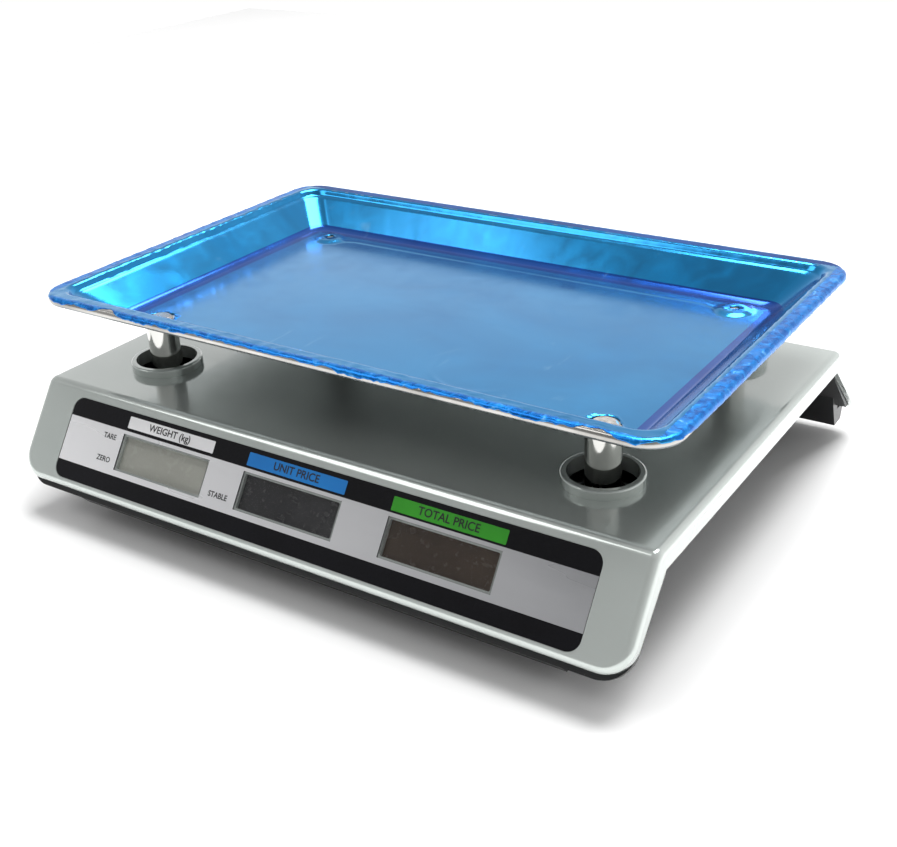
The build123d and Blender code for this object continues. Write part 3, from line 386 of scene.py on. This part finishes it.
# ------------------------------------------------------------------ mesh helpers
def piece(name, mesh, body, slot_name, *materials, smooth=False):
    """Links a mesh as a piece of the object that rides on a body."""
    for material in materials:
        mesh.materials.append(MATERIALS[material])
    if smooth:
        mesh.polygons.foreach_set("use_smooth", [True] * len(mesh.polygons))
    made = bpy.data.objects.new(name, mesh)
    bpy.context.scene.collection.objects.link(made)
    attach(made, body)
    return made


def finished(bm, name):
    bmesh.ops.recalc_face_normals(bm, faces=bm.faces[:])
    mesh = bpy.data.meshes.new(name)
    bm.to_mesh(mesh)
    bm.free()
    return mesh


def rounded(x0, x1, s0, s1, radius, steps=6):
    """Outline of a rectangle with round corners, as (x, s) points."""
    corners = [(x1 - radius, s0 + radius, -90), (x1 - radius, s1 - radius, 0),
               (x0 + radius, s1 - radius, 90), (x0 + radius, s0 + radius, 180)]
    points = []
    for x, s, start in corners:
        for step in range(steps + 1):
            angle = math.radians(start + 90 * step / steps)
            points.append((x + radius * math.cos(angle), s + radius * math.sin(angle)))
    return points


def prism(bm, panel, outline, low, high):
    """Flat-sided solid on a panel, from an outline of (x, s) points."""
    under = [bm.verts.new(panel.at(x, s, low)) for x, s in outline]
    over = [bm.verts.new(panel.at(x, s, high)) for x, s in outline]
    bm.faces.new(under)
    bm.faces.new(over)
    for i, vertex in enumerate(under):
        j = (i + 1) % len(under)
        bm.faces.new((vertex, under[j], over[j], over[i]))


def printed(name, panel, outlines, material, base=OVERLAY_FACE, height=PRINT, slot_name="fascia_print",
            body="base"):
    bm = bmesh.new()
    for outline in outlines:
        prism(bm, panel, outline, base, base + height)
    return piece(name, finished(bm, name), body, slot_name, material)


def lettering(name, text, panel, x, s, size, material, body="base", base=OVERLAY_FACE + PRINT,
              slot_name="fascia_print", squeeze=1.0):
    """Generic legend in the built-in typeface, centred on a spot of a panel."""
    curve = bpy.data.curves.new(name, "FONT")
    curve.body = text
    curve.size = size
    curve.align_x = "CENTER"
    curve.align_y = "CENTER"
    curve.extrude = PRINT / 2
    curve.offset = size * 0.016
    curve.resolution_u = 4
    source = bpy.data.objects.new(name + "_source", curve)
    bpy.context.scene.collection.objects.link(source)
    bpy.context.view_layer.update()
    evaluated = source.evaluated_get(bpy.context.evaluated_depsgraph_get())
    mesh = bpy.data.meshes.new_from_object(evaluated)
    bpy.data.objects.remove(source)
    place = panel.matrix(x, s, base + PRINT / 2) @ Matrix.Diagonal((squeeze, 1, 1, 1))
    mesh.transform(place)
    mesh.materials.clear()
    return piece(name, mesh, body, slot_name, material)


# ------------------------------------------------------------------ tray
ROUND_STEPS = 14
FOOT_START, WALL_FOOT = 23.0 * MM, 31.5 * MM      # insets of the curved foot of the walls, where the film gets painted shade
CREASED_FRONT, CREASED_SIDES = 3.4 * MM, 6.6 * MM  # width of the crinkled film along the rim, painted paler on its folds as highlight
NAVY_START, NAVY_END = 3.0 * MM, 7.4 * MM          # insets of the dark line along the back rim, a painted shade
TRAY_COLUMNS = (180, 116)         # steps along a long and a short side of the tray


def loop_points(inset, radius):
    """Round-cornered rectangle at an inset from the rim, as (x, y, side) with equal counts."""
    half = (TRAY_HALF_X - inset, TRAY_HALF_Y - inset)
    radius = min(radius, half[1] - 0.01 * MM)
    corners = [(1, -1, -90), (1, 1, 0), (-1, 1, 90), (-1, -1, 180)]
    points = []
    for index, (sx, sy, start) in enumerate(corners):
        centre = (sx * (half[0] - radius), sy * (half[1] - radius))
        for step in range(ROUND_STEPS):
            angle = math.radians(start + 90 * step / ROUND_STEPS)
            points.append((centre[0] + radius * math.cos(angle), centre[1] + radius * math.sin(angle)))
        count = TRAY_COLUMNS[1] if index % 2 == 0 else TRAY_COLUMNS[0]
        angle = math.radians(start + 90)
        begin = (centre[0] + radius * math.cos(angle), centre[1] + radius * math.sin(angle))
        nx, ny, _ = corners[(index + 1) % 4]
        end = (nx * (half[0] - radius) + radius * math.cos(angle),
               ny * (half[1] - radius) + radius * math.sin(angle))
        for step in range(count):
            t = step / count
            points.append((begin[0] + (end[0] - begin[0]) * t, begin[1] + (end[1] - begin[1]) * t))
    return points


def eased(points, trim, steps=4):
    """The profile with each inner point replaced by a short curve."""
    result = [points[0]]
    for before, here, after in zip(points, points[1:], points[2:]):
        a, b, c = Vector(before), Vector(here), Vector(after)
        first = b + (a - b).normalized() * min(trim, (a - b).length * 0.45)
        last = b + (c - b).normalized() * min(trim, (c - b).length * 0.45)
        for step in range(steps + 1):
            t = step / steps
            result.append(tuple(first * (1 - t) ** 2 + b * 2 * t * (1 - t) + last * t * t))
    result.append(points[-1])
    return result


def basin_profile(drop):
    """Rings from the middle of the floor out to the flange, moved down by a drop."""
    walls = [(inset, depth + drop, radius) for inset, depth, radius in reversed(TRAY_STEPS)]
    flat = [(30.5 * MM, FLOOR_DEPTH + drop, FLOOR_CORNER)]
    start = (TRAY_HALF_Y - 0.4 * MM, FLOOR_DEPTH + drop, 0.3 * MM)
    steps = [start]
    inset = 98.0 * MM
    while inset > 50.0 * MM:
        steps.append((inset, FLOOR_DEPTH + drop, max(0.3 * MM, FLOOR_CORNER - (inset - 30.5 * MM) * 0.16)))
        inset -= 6.0 * MM
    while inset > 31.0 * MM:
        steps.append((inset, FLOOR_DEPTH + drop, FLOOR_CORNER - (inset - 30.5 * MM) * 0.16))
        inset -= 1.1 * MM
    outer = eased(flat + walls + [(BEAD, drop, RIM_CORNER - BEAD)], 1.1 * MM)
    return steps + outer


def rim_radius(inset):
    """Corner radius of the tray's outline between its rim and the flange's inner edge."""
    if inset <= BEAD:
        return RIM_CORNER - inset
    share = (inset - BEAD) / (FLANGE_INNER - BEAD)
    return (RIM_CORNER - BEAD) * (1 - share) + TRAY_STEPS[0][2] * share


def bead_point(angle, radius):
    """Point of the rolled bead's section, angle from its top, as inset, depth, corner radius."""
    inset = BEAD - (radius - BEAD_SLACK) * math.sin(angle)
    return (inset, BEAD - radius * math.cos(angle), RIM_CORNER - inset)


def loft(bm, rings, cap=True):
    """Quads between rings of points; the first ring is closed with one face."""
    made = [[bm.verts.new(point) for point in ring] for ring in rings]
    count = len(made[0])
    for low, high in zip(made, made[1:]):
        for i in range(count):
            j = (i + 1) % count
            bm.faces.new((low[i], low[j], high[j], high[i]))
    if cap:
        bm.faces.new(made[0])
    return made


def tray_ring(inset, depth, radius):
    z = RIM_Z - depth
    return [(TRAY_CENTRE.x + x, TRAY_CENTRE.y + y, z) for x, y in loop_points(inset, radius)]


STEEL_BEAD = BEAD - STEEL_SINK


def steel_tray():
    """Pressed steel tray under the film: pan, flange and a bead rolled under it."""
    bm = bmesh.new()
    top = basin_profile(STEEL_SINK)
    rings = [tray_ring(*values) for values in top]
    roll = [tray_ring(*bead_point(math.radians(angle), STEEL_BEAD)) for angle in range(12, 300, 12)]
    under = [tray_ring(*values) for values in reversed(basin_profile(STEEL_SINK + SHEET))]
    made = loft(bm, rings + roll + under)
    bm.faces.new(made[-1])
    mesh = finished(bm, "tray_shell")
    shell = piece("tray_shell", mesh, "tray", "tray_steel", "tray_steel", "tray_steel_painted_shade", smooth=True)
    # faces turned down get the darker steel copy: painted shade under the tray
    for face in mesh.polygons:
        face.material_index = 1 if face.normal.z < -0.3 else 0
    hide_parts("weighing_tray")


def side_of(x, y):
    """Which rim a point belongs to: front, back, left or right, with its share of the way."""
    dx, dy = TRAY_HALF_X - abs(x), TRAY_HALF_Y - abs(y)
    if dy < dx:
        return ("front" if y < 0 else "back"), x / TRAY_HALF_X
    return ("left" if x < 0 else "right"), y / TRAY_HALF_Y


def film_reach(x, y):
    """How far the film goes over the rim from the flange's inner edge, ragged along the front."""
    flange = FLANGE_INNER - BEAD
    spot = Vector((x, y, 0)) * 90
    ragged = noise.noise(spot) + 0.6 * noise.noise(spot * 3.1) + 0.4 * noise.noise(spot * 7.7)
    side, share = side_of(x, y)
    frontness = min(1.0, max(0.0, (-y - TRAY_HALF_Y + 26 * MM) / (14 * MM)))
    wrap = math.radians(118 + 14 * ragged) * (1 - frontness)
    wrap += math.radians(66 + 34 * ragged) * frontness
    reach = flange + BEAD * max(wrap, -0.6)
    bite = math.exp(-((share + 0.70) / 0.035) ** 2) + 0.7 * math.exp(-((share - 0.80) / 0.05) ** 2)
    if side == "front":
        reach -= flange * 0.6 * bite
    return max(reach, 1.2 * MM)


def film_point(x, y, z, normal, inset):
    """A point of the film: lifted off the steel, with creases on the rim and waves on the floor."""
    spot = Vector((x, y, z))
    lift = FILM_LIFT
    rim = 1.0 if inset < FLANGE_INNER + 2 * MM else 0.0
    side, _ = side_of(x, y)
    if rim:
        rough = {"left": 0.34, "right": 0.26, "front": 0.20, "back": 0.07}[side] * MM
        folds = noise.noise(spot * 260) + 0.5 * noise.noise(spot * 620)
        lift = min(lift + rough * max(0.0, folds + 0.15), FILM_LIFT_LIMIT)
    elif inset < TRAY_STEPS[-1][0] + 1.5 * MM:
        waves = noise.noise(Vector((x * 20, y * 20, z * 60)))
        lift += 0.05 * MM * (1 + waves)
        lift += 0.10 * MM * max(0.0, noise.noise(spot * 150) - 0.35)
    else:
        lift += 0.04 * MM * (1 + noise.noise(spot * 22))
        lift += ridge_lift(x, y) + rivet_bulge(x, y)
    return spot + normal * lift


def ridge_lift(x, y):
    """A long pucker of the film near the rear of the floor, and a shallow curl by the front."""
    rear_y = TRAY_HALF_Y - 36.5 * MM
    along = x / (TRAY_HALF_X - 48 * MM)
    bend = 4.5 * MM * max(0.0, abs(along) - 0.86) / 0.14
    gap = y - (rear_y - bend * bend / (3 * MM))
    reach = 1.0 if abs(along) < 1.0 else 0.0
    pucker = 0.34 * MM * math.exp(-(gap / (0.9 * MM)) ** 2) * reach * (0.55 + 0.45 * abs(along))
    radius = math.hypot(x - 52 * MM, y + 44 * MM)
    turn = math.atan2(y + 44 * MM, x - 52 * MM)
    curl = 0.16 * MM * math.exp(-((radius - 24 * MM) / (0.8 * MM)) ** 2)
    curl *= max(0.0, math.cos(turn + 1.9)) ** 2
    return pucker + curl


def film_rings():
    """Rings of the film from the middle of the floor to its edge round the bead."""
    profile = [values for values in basin_profile(0.0) if values[0] > FLANGE_INNER - 0.6 * MM]
    while profile[-1][0] < FLANGE_INNER + 0.2 * MM:
        profile.pop()
    profile.append((FLANGE_INNER - 1.0 * MM, 0.0, rim_radius(FLANGE_INNER - 1.0 * MM)))
    loops = [[(x, y, RIM_Z - STEEL_SINK - depth) for x, y in loop_points(inset, radius)]
             for inset, depth, radius in profile]
    insets = [values[0] for values in profile]
    rim_steps = 16
    edge = [film_reach(x, y) for x, y in loop_points(BEAD, RIM_CORNER - BEAD)]
    flange = FLANGE_INNER - BEAD
    for step in range(1, rim_steps + 1):
        ring = []
        for column, reach in enumerate(edge):
            start = 1.0 * MM
            run = start + (reach - start) * step / rim_steps
            if run <= flange:
                inset, depth = FLANGE_INNER - run, 0.0
            else:
                inset, depth, _ = bead_point((run - flange) / BEAD, STEEL_BEAD)
                depth -= STEEL_SINK
            ring.append((column, inset, depth))
        cache = {}
        points = []
        for column, inset, depth in ring:
            key = round(inset / (0.05 * MM))
            if key not in cache:
                cache[key] = loop_points(key * 0.05 * MM, rim_radius(key * 0.05 * MM))
            x, y = cache[key][column]
            points.append((x, y, RIM_Z - STEEL_SINK - depth))
        loops.append(points)
        insets.append(FLANGE_INNER - 1.0 * MM)
    return loops, insets


def film_normals(loops):
    """Outward normals of the lofted rings by central differences."""
    normals = []
    count = len(loops[0])
    for index, loop in enumerate(loops):
        before, after = loops[max(index - 1, 0)], loops[min(index + 1, len(loops) - 1)]
        row = []
        for column in range(count):
            across = Vector(after[column]) - Vector(before[column])
            around = Vector(loop[(column + 1) % count]) - Vector(loop[column - 1])
            row.append(across.cross(around).normalized())
        normals.append(row)
    return normals


def rivet_spots():
    return [(sx * POST_X, y - TRAY_CENTRE.y) for sx in (-1, 1) for y in POST_YS]


def rivet_bulge(x, y):
    """The film domes over the two rear rivets."""
    lift = 0.0
    for cx, cy in rivet_spots():
        if cy > 0:
            share = (9.5 * MM - math.hypot(x - cx, y - cy)) / (3.6 * MM)
            share = min(1.0, max(0.0, share))
            wrinkle = 0.14 * MM * noise.noise(Vector((x, y, 0)) * 700)
            lift += (RIVET_HEAD + 0.3 * MM) * share * share * (3 - 2 * share) + wrinkle * share
    return lift


def hole_radius(angle, seed, tear):
    spot = Vector((math.cos(angle) * 2.2, math.sin(angle) * 2.2, seed * 5.0))
    return tear * (1 + 0.13 * noise.noise(spot) + 0.10 * noise.noise(spot * 3.0))


def open_rivet_holes(bm):
    """Tears the film open round each rivet, with an uneven edge."""
    for seed, (cx, cy) in enumerate(rivet_spots()):
        tear = TEAR_REAR if cy > 0 else TEAR_FRONT
        near = [v for v in bm.verts if math.hypot(v.co.x - cx, v.co.y - cy) < tear + 2 * MM
                and v.co.z < RIM_Z - 12 * MM]
        inside = [v for v in near if math.hypot(v.co.x - cx, v.co.y - cy)
                  < hole_radius(math.atan2(v.co.y - cy, v.co.x - cx), seed, tear)]
        bmesh.ops.delete(bm, geom=inside, context="VERTS")
        edge = [v for v in bm.verts if v.is_boundary and math.hypot(v.co.x - cx, v.co.y - cy) < 12 * MM]
        for v in edge:
            angle = math.atan2(v.co.y - cy, v.co.x - cx)
            radius = hole_radius(angle, seed, tear)
            v.co.x = cx + radius * math.cos(angle)
            v.co.y = cy + radius * math.sin(angle)
            v.co.z += 0.25 * MM * (1 + noise.noise(v.co * 900))


def film():
    """Protective film: one sheet over the floor, the walls, the flange and round the bead."""
    loops, insets = film_rings()
    normals = film_normals(loops)
    bm = bmesh.new()
    rings = []
    for loop, row, inset in zip(loops, normals, insets):
        rings.append([film_point(*point, normal, inset) for point, normal in zip(loop, row)])
    loft(bm, rings)
    open_rivet_holes(bm)
    for face in bm.faces:
        middle = face.calc_center_median()
        over_rim = middle.z > RIM_Z - 0.9 * MM or TRAY_HALF_X - abs(middle.x) < BEAD \
            or TRAY_HALF_Y - abs(middle.y) < BEAD
        side, _ = side_of(middle.x, middle.y)
        inset = min(TRAY_HALF_X - abs(middle.x), TRAY_HALF_Y - abs(middle.y))
        crease_width = CREASED_FRONT if side == "front" else CREASED_SIDES
        # crinkled rim film, paler on its folds as painted highlight
        if over_rim and side != "back" and inset < crease_width:
            face.material_index = 1
        # painted shade: a dark band on the flange of the back rim
        elif side == "back" and over_rim and NAVY_START < inset < NAVY_END:
            face.material_index = 2
        # painted shade along the foot of the walls, where they meet the floor
        elif FOOT_START < inset < WALL_FOOT:
            face.material_index = 3
        face.smooth = True
    bmesh.ops.translate(bm, verts=bm.verts[:], vec=(TRAY_CENTRE.x, TRAY_CENTRE.y, 0))
    mesh = finished(bm, "peel_film")
    sheet = piece("peel_film", mesh, "tray", "blue_film", "film", "film_creased_painted_highlight", "film_rim_painted_shade", "film_foot_painted_shade")
    thick = sheet.modifiers.new("thickness", "SOLIDIFY")
    thick.thickness = 0.07 * MM
    thick.offset = -1.0
    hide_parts("protective_film")


# ------------------------------------------------------------------ display graphics
LABEL_X0, LABEL_X1 = -141.7 * MM, 144.2 * MM
BAND_TOP, BAND_BOTTOM = 14.6 * MM, 36.7 * MM
WINDOW_HALF = 27.3 * MM
WINDOW_TOP, WINDOW_BOTTOM = 16.2 * MM, 33.9 * MM
WINDOW_XS = (-78.0 * MM, -3.0 * MM, 75.7 * MM)


def banded(name, panel, x0, x1, xs, tops):
    """Printed band across a panel that leaves the windows open."""
    top, window_top, window_bottom, bottom = tops
    cuts = [x0]
    for x in xs:
        cuts += [x - WINDOW_HALF, x + WINDOW_HALF]
    cuts.append(x1)
    cells = []
    for index, (a, b) in enumerate(zip(cuts, cuts[1:])):
        if index % 2 == 0:
            cells.append((a, b, top, bottom))
        else:
            cells.append((a, b, top, window_top))
            cells.append((a, b, window_bottom, bottom))
    bm = bmesh.new()
    for a, b, s0, s1 in cells:
        prism(bm, panel, [(a, s0), (b, s0), (b, s1), (a, s1)], OVERLAY_FACE, OVERLAY_FACE + PRINT)
    bmesh.ops.remove_doubles(bm, verts=bm.verts[:], dist=1e-6)
    inner = [f for f in bm.faces if all(len(e.link_faces) > 2 for e in f.edges if abs(
        (e.verts[0].co - e.verts[1].co).length - PRINT) > 1e-7) and f.calc_area() < 0.03 * PRINT]
    bmesh.ops.delete(bm, geom=inner, context="FACES_ONLY")
    return piece(name, finished(bm, name), "base", "fascia_print", "silver_print_painted_sheen")


def customer_graphics():
    """Silver band, the three coloured tags and the generic legends of the customer display."""
    banded("display_band", FRONT, LABEL_X0, LABEL_X1, WINDOW_XS,
           (BAND_TOP, WINDOW_TOP, WINDOW_BOTTOM, BAND_BOTTOM))
    tags = [
        ("weight", "WEIGHT (kg)", -104.3, -50.4, 7.4, 13.1, "white_print", -78.0, 4.6),
        ("unit_price", "UNIT PRICE", -29.9, 24.4, 7.4, 13.5, "blue_print", -2.6, 4.9),
        ("total_price", "TOTAL PRICE", 48.5, 103.4, 7.7, 13.7, "green_print", 76.0, 4.9),
    ]
    for name, text, x0, x1, s0, s1, colour, middle, size in tags:
        outline = rounded(x0 * MM, x1 * MM, s0 * MM, s1 * MM, 0.4 * MM, 3)
        printed("tag_" + name, FRONT, [outline], colour)
        lettering("legend_" + name, text, FRONT, middle * MM, (s0 + s1) / 2 * MM, size * MM,
                  "black_print")
    marks = [("tare", "TARE", -113.4, 19.4), ("zero", "ZERO", -113.4, 30.4),
             ("stable", "STABLE", -40.5, 30.4)]
    for name, text, x, s in marks:
        lettering("mark_" + name, text, FRONT, x * MM, s * MM, 3.6 * MM, "black_print", squeeze=0.95)


SEGMENTS = {
    "top": ((0, 1), (1, 1)), "middle": ((0, 0.5), (1, 0.5)), "bottom": ((0, 0), (1, 0)),
    "upper_left": ((0, 0.5), (0, 1)), "upper_right": ((1, 0.5), (1, 1)),
    "lower_left": ((0, 0), (0, 0.5)), "lower_right": ((1, 0), (1, 0.5)),
}


def digit_outlines(x, s, width, height, thick):
    """The seven bars of one digit, slightly slanted, and its point."""
    bars = []
    for (u0, v0), (u1, v1) in SEGMENTS.values():
        a = Vector(((u0 - 0.5) * width, (0.5 - v0) * height))
        b = Vector(((u1 - 0.5) * width, (0.5 - v1) * height))
        along = (b - a).normalized()
        side = Vector((-along.y, along.x)) * thick / 2
        a, b = a + along * thick * 0.16, b - along * thick * 0.16
        tip = along * thick / 2
        outline = [a, a + tip + side, b - tip + side, b, b - tip - side, a + tip - side]
        bars.append([(x + p.x - p.y * 0.10, s + p.y) for p in outline])
    point_x = x + width * 0.78
    point_s = s + height * 0.47
    bars.append([(point_x + thick * 0.6 * math.cos(math.radians(45 * k)),
                  point_s + thick * 0.6 * math.sin(math.radians(45 * k))) for k in range(8)])
    return bars


def display_faces(prefix, panel, xs, s0, s1, tones, cad_node, digits_shown):
    """Display modules behind the windows, with their unlit digit bars where those can be seen."""
    low, high = LCD_FACE - 2.9 * MM, LCD_FACE
    half_x, middle = 31.0 * MM, (s0 + s1) / 2
    half_s = (s1 - s0) / 2 + 2.2 * MM
    for index, (x, tone) in enumerate(zip(xs, tones)):
        name = f"{prefix}_lcd_{index + 1}"
        bm = bmesh.new()
        prism(bm, panel, rounded(x - half_x, x + half_x, middle - half_s, middle + half_s, 0.8 * MM),
              low, high)
        module = piece(name, finished(bm, name), "base", "lcd_glass", tone)
        bevel = module.modifiers.new("edge", "BEVEL")
        bevel.width = 0.15 * MM
        bevel.segments = 2
        if not digits_shown:
            continue
        bars = []
        digits = 6 if index == len(xs) - 1 else 5
        pitch = 2 * WINDOW_HALF / (digits + 0.5)
        for place in range(digits):
            centre = x + (place - (digits - 1) / 2) * pitch - 0.6 * MM
            bars += digit_outlines(centre, middle, pitch * 0.56, (s1 - s0) * 0.66, 1.15 * MM)
        printed(f"{prefix}_digits_{index + 1}", panel, bars, "ghost_grey", LCD_FACE, 0.04 * MM, "lcd_glass")
    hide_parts(cad_node)


OPERATOR_XS = (-78.0 * MM, 0.0, 78.0 * MM)
OPERATOR_TOP, OPERATOR_BOTTOM = 10.5 * MM, 26.5 * MM
KEY_PITCH_X, KEY_PITCH_S, KEY_FIRST_S = 20.0 * MM, 12.4 * MM, 37.0 * MM
KEY_FACE = 1.6 * MM
KEY_LEGENDS = ["1", "2", "3", "4", "5", "M1", "ADD", "TARE",
               "6", "7", "8", "9", "0", "M2", "C", "ZERO"]


def key_spots():
    """Centre of each key on the operator's panel, row by row."""
    for index in range(len(KEY_LEGENDS)):
        column, row = index % 8, index // 8
        yield (column - 3.5) * KEY_PITCH_X, KEY_FIRST_S + row * KEY_PITCH_S


def operator_graphics():
    """Band, tags and key legends of the operator's panel."""
    banded("operator_band", REAR, -141.5 * MM, 141.5 * MM, OPERATOR_XS,
           (9.0 * MM, OPERATOR_TOP, OPERATOR_BOTTOM, 28.0 * MM))
    tags = [("weight", "WEIGHT (kg)", OPERATOR_XS[0]), ("unit_price", "UNIT PRICE", OPERATOR_XS[1]),
            ("total_price", "TOTAL PRICE", OPERATOR_XS[2])]
    for name, text, x in tags:
        lettering("operator_" + name, text, REAR, x, 7.3 * MM, 2.9 * MM, "white_print",
                  base=OVERLAY_FACE, slot_name="keypad_print")
    for index, (text, (x, s)) in enumerate(zip(KEY_LEGENDS, key_spots())):
        size = 5.4 * MM if len(text) < 3 else 3.6 * MM
        tone = "red_print" if text in ("C", "TARE", "ZERO") else "black_print"
        lettering(f"key_legend_{index + 1:02d}", text, REAR, x, s, size, tone,
                  f"key_{index + 1:02d}", KEY_FACE, "key_plastic")
    bm = bmesh.new()
    for x, s in key_spots():
        outer = rounded(x - 8.6 * MM, x + 8.6 * MM, s - 5.8 * MM, s + 5.8 * MM, 2.2 * MM)
        inner = rounded(x - 8.25 * MM, x + 8.25 * MM, s - 5.45 * MM, s + 5.45 * MM, 1.9 * MM)
        ring_prism(bm, REAR, outer, inner, OVERLAY_FACE, OVERLAY_FACE + PRINT)
    piece("key_frames", finished(bm, "key_frames"), "base", "keypad_print", "silver_print_painted_sheen")


def ring_prism(bm, panel, outer, inner, low, high):
    """Flat ring on a panel between two outlines with the same number of points."""
    rows = [[bm.verts.new(panel.at(x, s, h)) for x, s in outline]
            for outline, h in ((outer, low), (outer, high), (inner, high), (inner, low))]
    count = len(outer)
    for a, b in zip(rows, rows[1:] + rows[:1]):
        for i in range(count):
            j = (i + 1) % count
            bm.faces.new((a[i], a[j], b[j], b[i]))


def level_ring():
    """Printed ring on the face of the spirit level."""
    low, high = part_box("spirit_level")
    centre = (low + high) / 2
    bm = bmesh.new()
    rings = []
    for radius, height in ((2.6, 0.0), (2.6, 0.05), (2.2, 0.05), (2.2, 0.0)):
        rings.append([(centre.x + radius * MM * math.cos(math.radians(10 * k)),
                       centre.y + radius * MM * math.sin(math.radians(10 * k)),
                       high.z + height * MM) for k in range(36)])
    made = loft(bm, rings, cap=False)
    for i in range(36):
        j = (i + 1) % 36
        bm.faces.new((made[-1][i], made[-1][j], made[0][j], made[0][i]))
    piece("level_ring", finished(bm, "level_ring"), "base", "vial_acrylic", "black_print")


# ------------------------------------------------------------------ camera, floor and light
CAMERA_PLACE = Vector((0.31793, -0.4685, 0.30976))
CAMERA_AZIMUTH, CAMERA_ELEVATION, CAMERA_ROLL = 34.43, 27.41, 2.69
CAMERA_LENS, CAMERA_SHIFT = 49.89, (-0.0007, 0.0180)


def camera():
    azimuth, elevation = math.radians(CAMERA_AZIMUTH), math.radians(CAMERA_ELEVATION)
    roll = math.radians(CAMERA_ROLL)
    forward = Vector((-math.sin(azimuth) * math.cos(elevation),
                      math.cos(azimuth) * math.cos(elevation), -math.sin(elevation)))
    right = Vector((math.cos(azimuth), math.sin(azimuth), 0))
    down = forward.cross(right)
    tilted_right = right * math.cos(roll) + down * math.sin(roll)
    tilted_down = down * math.cos(roll) - right * math.sin(roll)
    turn = Matrix((tilted_right, -tilted_down, -forward)).transposed()
    data = bpy.data.cameras.new("camera")
    data.lens = CAMERA_LENS
    data.sensor_width = 36.0
    data.shift_x, data.shift_y = CAMERA_SHIFT
    data.clip_start = 0.01
    view = bpy.data.objects.new("camera", data)
    view.matrix_world = Matrix.Translation(CAMERA_PLACE) @ turn.to_4x4()
    bpy.context.scene.collection.objects.link(view)
    bpy.context.scene.camera = view


def softbox(name, place, aim, size, power):
    data = bpy.data.lights.new(name, "AREA")
    data.shape = "RECTANGLE"
    data.size, data.size_y = size
    data.energy = power
    light = bpy.data.objects.new(name, data)
    light.location = place
    light.rotation_mode = "QUATERNION"
    light.rotation_quaternion = (Vector(aim) - Vector(place)).to_track_quat("-Z", "Y")
    bpy.context.scene.collection.objects.link(light)


def studio():
    """Pale floor, a surround that is brightest behind the object, a large soft light and a weak fill."""
    bm = bmesh.new()
    bmesh.ops.create_grid(bm, x_segments=2, y_segments=2, size=1.2)
    floor = bpy.data.objects.new("floor", finished(bm, "floor"))
    floor.location.z = -0.0004
    shader = Shader("floor_paper")
    tone = shader.ramp(shader.noise(3.0), [(0.3, (0.96, 0.96, 0.96, 1)), (0.7, (0.98, 0.98, 0.98, 1))])
    shader.link(tone, shader.bsdf.inputs["Base Color"])
    shader.set(Roughness=0.9)
    floor.data.materials.append(shader.material)
    bpy.context.scene.collection.objects.link(floor)
    world = bpy.data.worlds.new("surround")
    bpy.context.scene.world = world
    world.use_nodes = True
    tree = world.node_tree
    background = tree.nodes["Background"]
    place = tree.nodes.new("ShaderNodeTexCoord")
    split = tree.nodes.new("ShaderNodeSeparateXYZ")
    ramp = tree.nodes.new("ShaderNodeValToRGB")
    tree.links.new(place.outputs["Generated"], split.inputs["Vector"])
    tree.links.new(split.outputs["Z"], ramp.inputs["Fac"])
    tree.links.new(ramp.outputs["Color"], background.inputs["Color"])
    stops = [(0.0, 1.0), (0.30, 0.95), (0.55, 0.66), (1.0, 0.62)]
    elements = ramp.color_ramp.elements
    while len(elements) < len(stops):
        elements.new(0.5)
    for element, (spot, value) in zip(elements, stops):
        element.position = spot
        element.color = (value, value, value, 1)
    depth = tree.nodes.new("ShaderNodeMapRange")
    depth.inputs["From Min"].default_value = -0.8
    depth.inputs["From Max"].default_value = 0.6
    depth.inputs["To Min"].default_value = 0.36
    depth.inputs["To Max"].default_value = 1.0
    above = tree.nodes.new("ShaderNodeMapRange")
    above.inputs["From Min"].default_value = -0.02
    above.inputs["From Max"].default_value = 0.02
    level = tree.nodes.new("ShaderNodeMix")
    level.inputs["A"].default_value = 1.02
    tree.links.new(split.outputs["Y"], depth.inputs["Value"])
    tree.links.new(split.outputs["Z"], above.inputs["Value"])
    tree.links.new(above.outputs["Result"], level.inputs["Factor"])
    tree.links.new(depth.outputs["Result"], level.inputs["B"])
    tree.links.new(level.outputs["Result"], background.inputs["Strength"])
    softbox("key_light", (0.15, 0.5, 1.7), (0, 0, 0.05), (1.2, 1.2), 42)
    softbox("fill_light", (-0.9, -0.85, 1.4), (0, 0, 0.05), (0.9, 0.7), 4.4)
    bpy.context.scene.view_settings.view_transform = "Standard"


camera()
studio()
dress_nodes()
steel_tray()
film()
customer_graphics()
# The three customer modules are alike; giving the first a light grey face and the third a warm one is
# painted reflection.
display_faces("customer", FRONT, WINDOW_XS, WINDOW_TOP, WINDOW_BOTTOM,
              ("lcd_grey", "lcd_dark", "lcd_warm_painted_reflection"), "customer_lcds", False)
operator_graphics()
display_faces("operator", REAR, OPERATOR_XS, OPERATOR_TOP, OPERATOR_BOTTOM, ("lcd_grey",) * 3,
              "operator_lcds", True)
level_ring()
